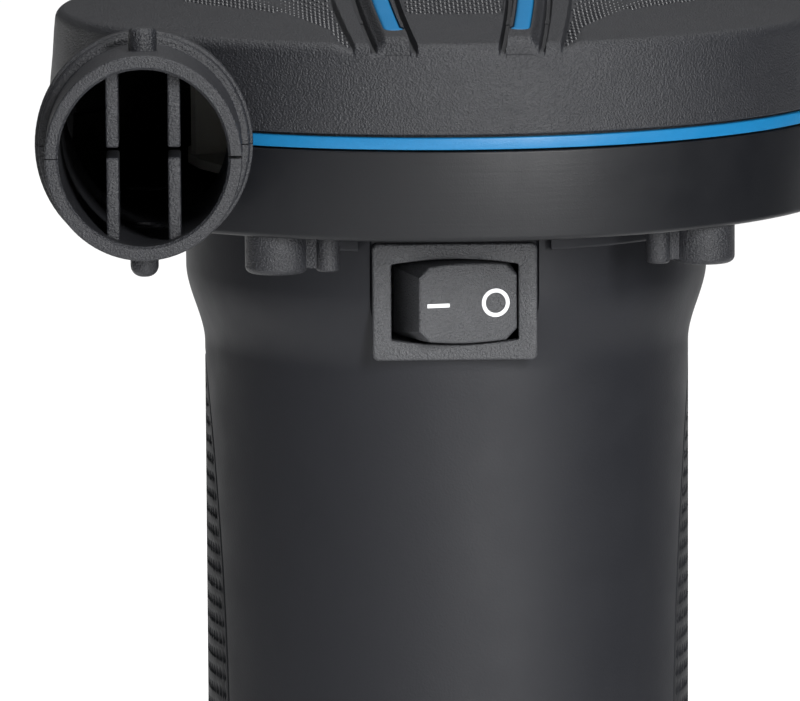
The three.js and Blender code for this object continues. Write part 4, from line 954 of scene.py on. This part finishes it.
def body_shell():
    inner = GRIP_RADIUS - BODY_WALL
    outside = [(inner, BODY_BOTTOM), (GRIP_RADIUS - 0.3, BODY_BOTTOM), (GRIP_RADIUS, BODY_BOTTOM + 0.3),
               *[(GRIP_RADIUS, z) for z in (30, 60, 90, 115)], *neck_curve(0), (NECK_RADIUS, BODY_TOP)]
    inside = [(NECK_RADIUS - BODY_WALL, BODY_TOP), *neck_curve(BODY_WALL)[::-1]]
    shell = lathe("body_skin", outside + inside, 256)
    collar = sector(NECK_RADIUS - 1, COLLAR_RADIUS, *COLLAR_ENDS, HEAD_BASE - COLLAR_HEIGHT, BODY_TOP)
    collar = bevel(collar, 0.35)
    shell = join(shell, cut(collar, slab("notch", (-COLLAR_NOTCH, -45, 140), (COLLAR_NOTCH, -30, 160))))
    bulkhead = box_mm("upper_contact")[1].z + 0.3
    shell = join(shell, rod("bulkhead", inner + 1, bulkhead, bulkhead + 2, 96))
    side = SWITCH_HALF_WIDTH + 0.3
    bottom = SWITCH_Z - SWITCH_HALF_HEIGHT - 0.3
    seat = slab("seat", (-side + 0.6, PAD_FACE, bottom + 0.6), (side - 0.6, PAD_FACE + 4.4, BODY_TOP))
    shell = join(shell, seat)
    for angle in BODY_SCREW_ANGLES:
        x, y = around(BODY_SCREW_CIRCLE, angle)
        shell = join(shell, shift(rod("post", POST_RADIUS, 134, BODY_TOP, 32), x, y, 0))
        shell = cut(shell, shift(rod("hole", PILOT_RADIUS, 137, 151, 24), x, y, 0))
    for angle in LUG_ANGLES:
        lug = lathe("lug", rounded([(0, 0), (1.3, 0), (1.3, 2.5, 0.3), (0, 2.5)], 4), 32)
        x, y = around(GRIP_RADIUS - 1, angle)
        lug = shift(spin(spin(lug, 90, "X"), angle, "Z"), x, y, 8.6)
        shell = join(shell, lug)
    recess = slab("recess", (-side, -45, bottom), (side, PAD_FACE, 160))
    window = slab("window", (-9.9, -40, SWITCH_Z - 6.6), (9.9, -20, SWITCH_Z + 6.6))
    shell = cut(shell, bevel(recess, 0.5), window, pad_pocket(-1), pad_pocket(1))
    for x, y in ((12, -20), (15, 12)):
        shell = cut(shell, shift(rod("hole", 1.5, 100, 125, 24), x, y, 0))
    return finish_piece(shell, "fine", "body", ["body_shell"], 35)


# ---- Side grips with a lattice of pits ----
PIT_ROW = 1.17
PIT_STEP = 1.35
PIT_REPEAT = 4
PIT_DEPTH = 0.36


def pit_depth(across, up):
    depth = np.zeros_like(across)
    row = np.round(up / PIT_ROW)
    for nudge in (-1, 0, 1):
        line = row + nudge
        shifted = across / PIT_STEP - 0.5 * (line % 2)
        column = np.round(shifted)
        dx = (shifted - column) * PIT_STEP
        dy = up - line * PIT_ROW
        group = (column * 2 + line * 3) % PIT_REPEAT
        present = np.choose(group.astype(int), (0.0, 1.0, 0.0, 0.7))
        narrowing = 0.42 - 0.22 * np.clip(dy / 0.5, -1, 1)
        shape = (1 - step(np.abs(dx), narrowing - 0.1, narrowing + 0.1)) * (1 - step(np.abs(dy), 0.34, 0.5))
        depth = np.maximum(depth, shape * present * PIT_DEPTH)
    return depth


def side_grip(side, node, name):
    rings = np.linspace(0, 1, 200)[1:]
    turns = np.arange(520) * TAU / 520
    share = np.concatenate([rings * 0.985, [0.993, 0.998, 1.0]])
    across = share[:, None] * PAD_HALF_WIDTH * np.cos(turns)
    up = share[:, None] * PAD_HALF_HEIGHT * np.sin(turns)
    rim = step(share, 0.93, 0.97)[:, None]
    crown = -0.25 * step(share, 0.985, 1.0)[:, None]
    radius = GRIP_RADIUS + crown - pit_depth(across, up) * (1 - rim)
    angle = np.arcsin(across / GRIP_RADIUS)
    outer = np.stack([side * radius * np.cos(angle), radius * np.sin(angle), up + PAD_CENTRE], -1)
    floor = GRIP_RADIUS - PAD_DEPTH
    edge = angle[-1]
    inner = np.stack([side * floor * np.cos(edge), floor * np.sin(edge), up[-1] + PAD_CENTRE], -1)
    rows = np.concatenate([outer, inner[None]])
    count = len(turns)
    index, faces = open_tube(len(rows), count)
    points = np.concatenate([rows.reshape(-1, 3), [(side * GRIP_RADIUS, 0, PAD_CENTRE)]])
    hub = len(points) - 1
    faces += [[hub, index[0][k], index[0][(k + 1) % count]] for k in range(count)]
    # The back follows the cylinder, so it is closed with strips across its width.
    top, backs = count // 4, index[-1]
    pairs = [(backs[(top - k) % count], backs[(top + k) % count]) for k in range(count // 2 + 1)]
    for (a, b), (c, d) in zip(pairs[:-1], pairs[1:]):
        face = list(dict.fromkeys([a, b, d, c]))
        if len(face) > 2:
            faces.append(face)
    pad = tidy_normals(new_object(name, points, faces))
    return finish_piece(pad, "rubber", "body", [node], 60)


# ---- Rocker switch ----
def rounded_box(half_width, half_height, corner, bow=0.0):
    inner_w, inner_h = half_width - corner, half_height - corner
    arcs = []
    for quadrant, (sx, sz) in enumerate(((1, 1), (-1, 1), (-1, -1), (1, -1))):
        angles = np.radians(90 * quadrant + np.linspace(0, 90, 6))
        out, up = corner * np.cos(angles), corner * np.sin(angles)
        arcs.append(np.stack([sx * inner_w + out, sz * inner_h + up], -1))
    points = []
    for arc, following in zip(arcs, arcs[1:] + arcs[:1]):
        points += [*arc, *np.linspace(arc[-1], following[0], 15)[1:-1]]
    if bow:
        points = [(x, z + math.copysign(bow * (1 - (x / half_width) ** 2), z) * min(1, abs(z) / inner_h))
                  for x, z in points]
    return np.array(points)


# Upright outlines, each drawn in by an inset and set at its own depth.
def inset_rows(sections):
    rows = []
    for outline, inset, y in sections:
        flat = outline * (1 - inset / np.abs(outline).max(0))
        rows.append(np.stack([flat[:, 0], np.full(len(flat), y), flat[:, 1]], -1))
    return np.stack(rows)


def switch_bezel():
    low, high = box_mm("switch_housing")
    half_w, half_h = (high.x - low.x) / 2, (high.z - low.z) / 2
    outer = rounded_box(half_w, half_h, 0.8)
    opening = rounded_box(8.1, 4.85, 0.22, bow=0.65)
    tube_out = rounded_box(9.6, 6.3, 0.4)
    tube_in = rounded_box(8.7, 5.4, 0.3)
    back = SWITCH_FACE + BEZEL_THICK
    soft = 0.32
    turns = [math.radians(a) for a in range(0, 91, 15)]
    arc = [(soft * (1 - math.sin(t)), soft * (1 - math.cos(t))) for t in turns]
    rows = [(outer, 0.0, back)]
    rows += [(outer, inset, SWITCH_FACE + depth) for depth, inset in arc]
    rows += [(opening, -inset, SWITCH_FACE + depth) for inset, depth in
             [(0.18, 0), (0.1, 0.03), (0.03, 0.09), (0, 0.18)]]
    rows += [(opening, 0, back - 0.1), (tube_in, 0, back), (tube_in, 0, high.y), (tube_out, 0, high.y),
             (tube_out, 0, back)]
    bezel = wrapped_grid("switch_bezel", inset_rows(rows) + (0, 0, SWITCH_Z))
    bezel = join(bezel, slab("floor", (-9, high.y - 1, SWITCH_Z - 5.8), (9, high.y - 0.02, SWITCH_Z + 5.8)))
    slots = [slab("slot", (x - 2.7, high.y - 2, SWITCH_Z - 0.7), (x + 2.7, high.y + 1, SWITCH_Z + 0.7))
             for x in (-5, 5)]
    pivot = rod("pivot", 1.25, SWITCH_Z - 6, SWITCH_Z + 6, 32)
    bezel = cut(bezel, *slots, shift(pivot, 0, PIVOT_Y, 0))
    return finish_piece(bezel, "switch", "body", ["switch_housing"], 40)


def rocker_outline(half_width, half_height, clip_x, clip_z):
    top = [(clip_x * share, half_height - 0.3 * share ** 2) for share in np.linspace(1, -1, 13)]
    left = [(-half_width, clip_z * share) for share in np.linspace(1, -1, 7)]
    bottom = [(-x, -z) for x, z in top]
    right = [(-x, -z) for x, z in left]
    return np.array(top + left + bottom + right)


def rocker_piece():
    face = rocker_outline(6.45, 5.15, 5.05, 3.45)
    middle = rocker_outline(8.2, 5.15, 7.1, 4.2)
    back = rocker_outline(5.2, 5.15, 4.8, 4.6)
    sections = [(face, 0.34, -8.0), (face, 0.16, -7.96), (face, 0.05, -7.86), (face, 0.0, -7.68),
                (middle, 0.0, -1.5), (middle, 0.1, -1.2), (back, 0.0, 1.6)]
    grid = inset_rows(sections)
    index, faces = open_tube(*grid.shape[:2])
    faces += [index[0][::-1], index[-1]]
    piece = tidy_normals(new_object("rocker_cap", grid.reshape(-1, 3), faces))
    pin = lathe("pin", rounded([(0, -6.2), (1, -6.2, 0.2), (1, 6.2, 0.2), (0, 6.2)], 3), 32)
    piece = place_rocker(join(piece, pin))
    return finish_piece(piece, "switch", "switch_rocker", ["rocker"], 40)


def place_rocker(obj):
    return shift(spin(obj, ROCKER_TILT, "Z"), 0, PIVOT_Y, SWITCH_Z)


def rocker_marks():
    basis = Matrix(((1, 0, 0, 0), (0, 0, 1, 0), (0, 1, 0, 0), (0, 0, 0, 1)))
    bar = prism("rocker_on_mark", [(-5.35, -0.42), (-2.45, -0.42), (-2.45, 0.08), (-5.35, 0.08)], -8.03, -7.9)
    ring = shift(tube("rocker_off_mark", 1.32, 1.82, -8.03, -7.9, 64), 3.6, -0.05, 0)
    for mark in (bar, ring):
        turn(mark, basis)
        place_rocker(tidy_normals(mark))
        finish_piece(mark, "print", "switch_rocker", (), 30)


# ---- Battery cap ----
def battery_cap():
    angles = np.arange(360) * TAU / 360
    flute = np.degrees(angles) % 20 - 10
    arc = np.radians(flute) * CAP_RADIUS
    scoop = np.maximum(0, np.sqrt(np.maximum(0, 2.4 ** 2 - arc ** 2)) - 1.6)
    inner = GRIP_RADIUS + 0.3
    outline = rounded([(0, 0), (CAP_RADIUS, 0, 2.0), (CAP_RADIUS, CAP_HEIGHT, 0.8), (inner, CAP_HEIGHT, 0.3),
                       (inner, 2.3, 0.6), (0, 2.3)], 8)
    dense = []
    for a, b in zip(outline, outline[1:] + outline[:1]):
        parts = max(1, int(math.dist(a, b) / 1.5)) if a[0] > CAP_RADIUS - 0.5 else 1
        dense += np.linspace(a, b, parts, endpoint=False).tolist()
    rows = ring_rows(dense, angles)
    for row, (radius, height) in zip(rows, dense):
        if radius > inner + 0.6:
            share = float(step(height, 2.6, 4.2))
            row[:, :2] *= (1 - scoop * share / radius)[:, None]
    cap = wrapped_grid("battery_cap_shell", rows)
    reach = GRIP_RADIUS + 1.8
    for angle in LUG_ANGLES:
        entry_end = angle + CAP_TURN + LUG_ROOM
        groove = sector(inner - 1, reach, angle - LUG_ROOM, entry_end, 7, 10.2)
        entry = sector(inner - 1, reach, entry_end - 2 * LUG_ROOM, entry_end, 7, 15)
        cap = cut(cap, groove, entry)
    return finish_piece(cap, "satin", "battery_door", ["battery_cap"], 40)


# ---- Intake grille ----
def intake_grille():
    low, high = box_mm("intake_grille")
    hoops = [lathe(name, rounded([
        (inner, low.z, 0.2), (outer, low.z, 0.2), (outer, high.z, 0.3), (inner, high.z, 0.3)], 4), segments)
        for name, inner, outer, segments in (("intake_guard", 8.9, 10.2, 96), ("loop", 5.2, 6.4, 64))]
    hub_top = high.z + 0.3
    hub = lathe("hub", rounded([(0, low.z), (2.4, low.z, 0.2), (2.4, hub_top, 0.6), (0, hub_top)], 5), 48)
    grille = join(*hoops, hub)
    for angle in (0, 90):
        spoke = bevel(slab("spoke", (-9.4, -0.7, low.z + 0.05), (9.4, 0.7, high.z - 0.1)), 0.25)
        grille = join(grille, spin(spoke, angle, "Z"))
    return finish_piece(grille, "satin", "body", ["intake_grille"], 35)


# ---- Studio ----
VIEW_TILT = math.radians(7.11)
VIEW_TURN = math.radians(-1.86)
VIEW_ROLL = math.radians(-0.32)
VIEW_DISTANCE = 1000.0
VIEW_LENS = 342.5
VIEW_AIM = (6.12, 20.85)
LIGHT_DISTANCE = 1.5
LIGHT_AIM = (0, 0, 0.15)


def make_camera():
    target = Vector((0, 0, HEAD_BASE))
    back = Vector((math.sin(VIEW_TURN) * math.cos(VIEW_TILT), -math.cos(VIEW_TURN) * math.cos(VIEW_TILT),
                   math.sin(VIEW_TILT)))
    right = Vector((math.cos(VIEW_TURN), math.sin(VIEW_TURN), 0))
    up = back.cross(right)
    eye = target + back * VIEW_DISTANCE
    aim = target - right * VIEW_AIM[0] - up * VIEW_AIM[1]
    data = bpy.data.cameras.new("camera")
    data.lens = VIEW_LENS
    data.sensor_width = 36
    data.clip_start = 0.05
    data.clip_end = 50
    camera = link(bpy.data.objects.new("camera", data))
    look = (aim - eye).normalized()
    side = look.cross(Vector((0, 0, 1))).normalized()
    top = side.cross(look)
    rolled_side = side * math.cos(VIEW_ROLL) + top * math.sin(VIEW_ROLL)
    rolled_top = rolled_side.cross(look)
    turn_to = Matrix((rolled_side, rolled_top, -look)).transposed().to_4x4()
    camera.matrix_world = Matrix.Translation(eye * MM) @ turn_to
    bpy.context.scene.camera = camera


def area_light(name, turn_degrees, height, size, power):
    data = bpy.data.lights.new(name, "AREA")
    data.shape = "RECTANGLE"
    data.size, data.size_y = size
    data.energy = power
    light = link(bpy.data.objects.new(name, data))
    place = Vector((*around(LIGHT_DISTANCE, turn_degrees), height))
    light.location = place
    light.rotation_euler = (Vector(LIGHT_AIM) - place).to_track_quat("-Z", "Y").to_euler()
    light.visible_camera = False


def sun_light(name, direction, strength, softness):
    data = bpy.data.lights.new(name, "SUN")
    data.energy = strength
    data.angle = math.radians(softness)
    light = link(bpy.data.objects.new(name, data))
    light.rotation_euler = Vector(direction).to_track_quat("Z", "Y").to_euler()


def stage_painted(obj, name, tone, grain_mm):
    finish = Finish(name, (tone, tone, tone, 1), 0.9, specular=0.1)
    finish.bump((grain_mm, 2), 0.02)
    obj.data.materials.append(finish.material)


# A dark card beside the object that keeps the pale floor from lighting its sides.
def flag(name, x, tone):
    card = slab(name, (x - 5, -420, 2), (x + 5, 220, 600))
    card.visible_camera = False
    stage_painted(card, name, tone, 5)


def make_studio():
    world = bpy.data.worlds.new("studio")
    world.use_nodes = True
    sky = world.node_tree.nodes["Background"]
    sky.inputs["Color"].default_value = (1, 1, 1, 1)
    sky.inputs["Strength"].default_value = 0.1
    scene = bpy.context.scene
    scene.world = world
    scene.view_settings.view_transform = "Standard"
    sun_light("top_light", (0.05, 0.1, 1), 3.1, 35)
    area_light("key_light", 22, 0.62, (0.25, 0.9), 42)
    area_light("edge_light", -80, 0.5, (0.15, 0.8), 4)
    flag("left_flag", -320, 0.1)
    flag("right_flag", 320, 0.03)
    stage_painted(rod("floor", 9000, -10, 0, 96), "floor_paint", 0.95, 3)


# ---- Put it together ----
make_camera()
make_studio()
upper_shell()
dome_dots()
inserts()
lower_shell()
screw_bosses()
accent_ring()
body_shell()
side_grip(-1, "left_grip", "left_grip_pad")
side_grip(1, "right_grip", "right_grip_pad")
switch_bezel()
rocker_piece()
rocker_marks()
battery_cap()
intake_grille()

def numbered(name, count):
    return [f"{name}_{i + 1}" for i in range(count)]


# CAD nodes that nothing replaces, and the material each one wears.
CARRIED = {
    "steel": [*numbered("head_screw", 5), *numbered("body_screw", 3), *numbered("motor_screw", 2),
              *numbered("contact_spring", 3), "motor_can", "motor_shaft", "impeller_clip"],
    "brass": [*numbered("switch_terminal", 2), "rear_bearing", "front_bearing", "upper_contact",
              "cap_contact", "return_strip"],
    "copper": ["armature", "commutator"],
    "magnet": [*numbered("magnet", 2), *numbered("brush", 2)],
    "black": ["motor_end_cap"],
    "pale": ["impeller"],
    "jacket": ["switch_motor_lead", "battery_switch_lead", "battery_motor_lead"],
    "cell": numbered("cell", 6),
    "seal": ["cap_seal"],
}
for material, names in CARRIED.items():
    for node in names:
        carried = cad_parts[node]
        carried.data.materials.clear()
        carried.data.materials.append(MATERIALS[material])
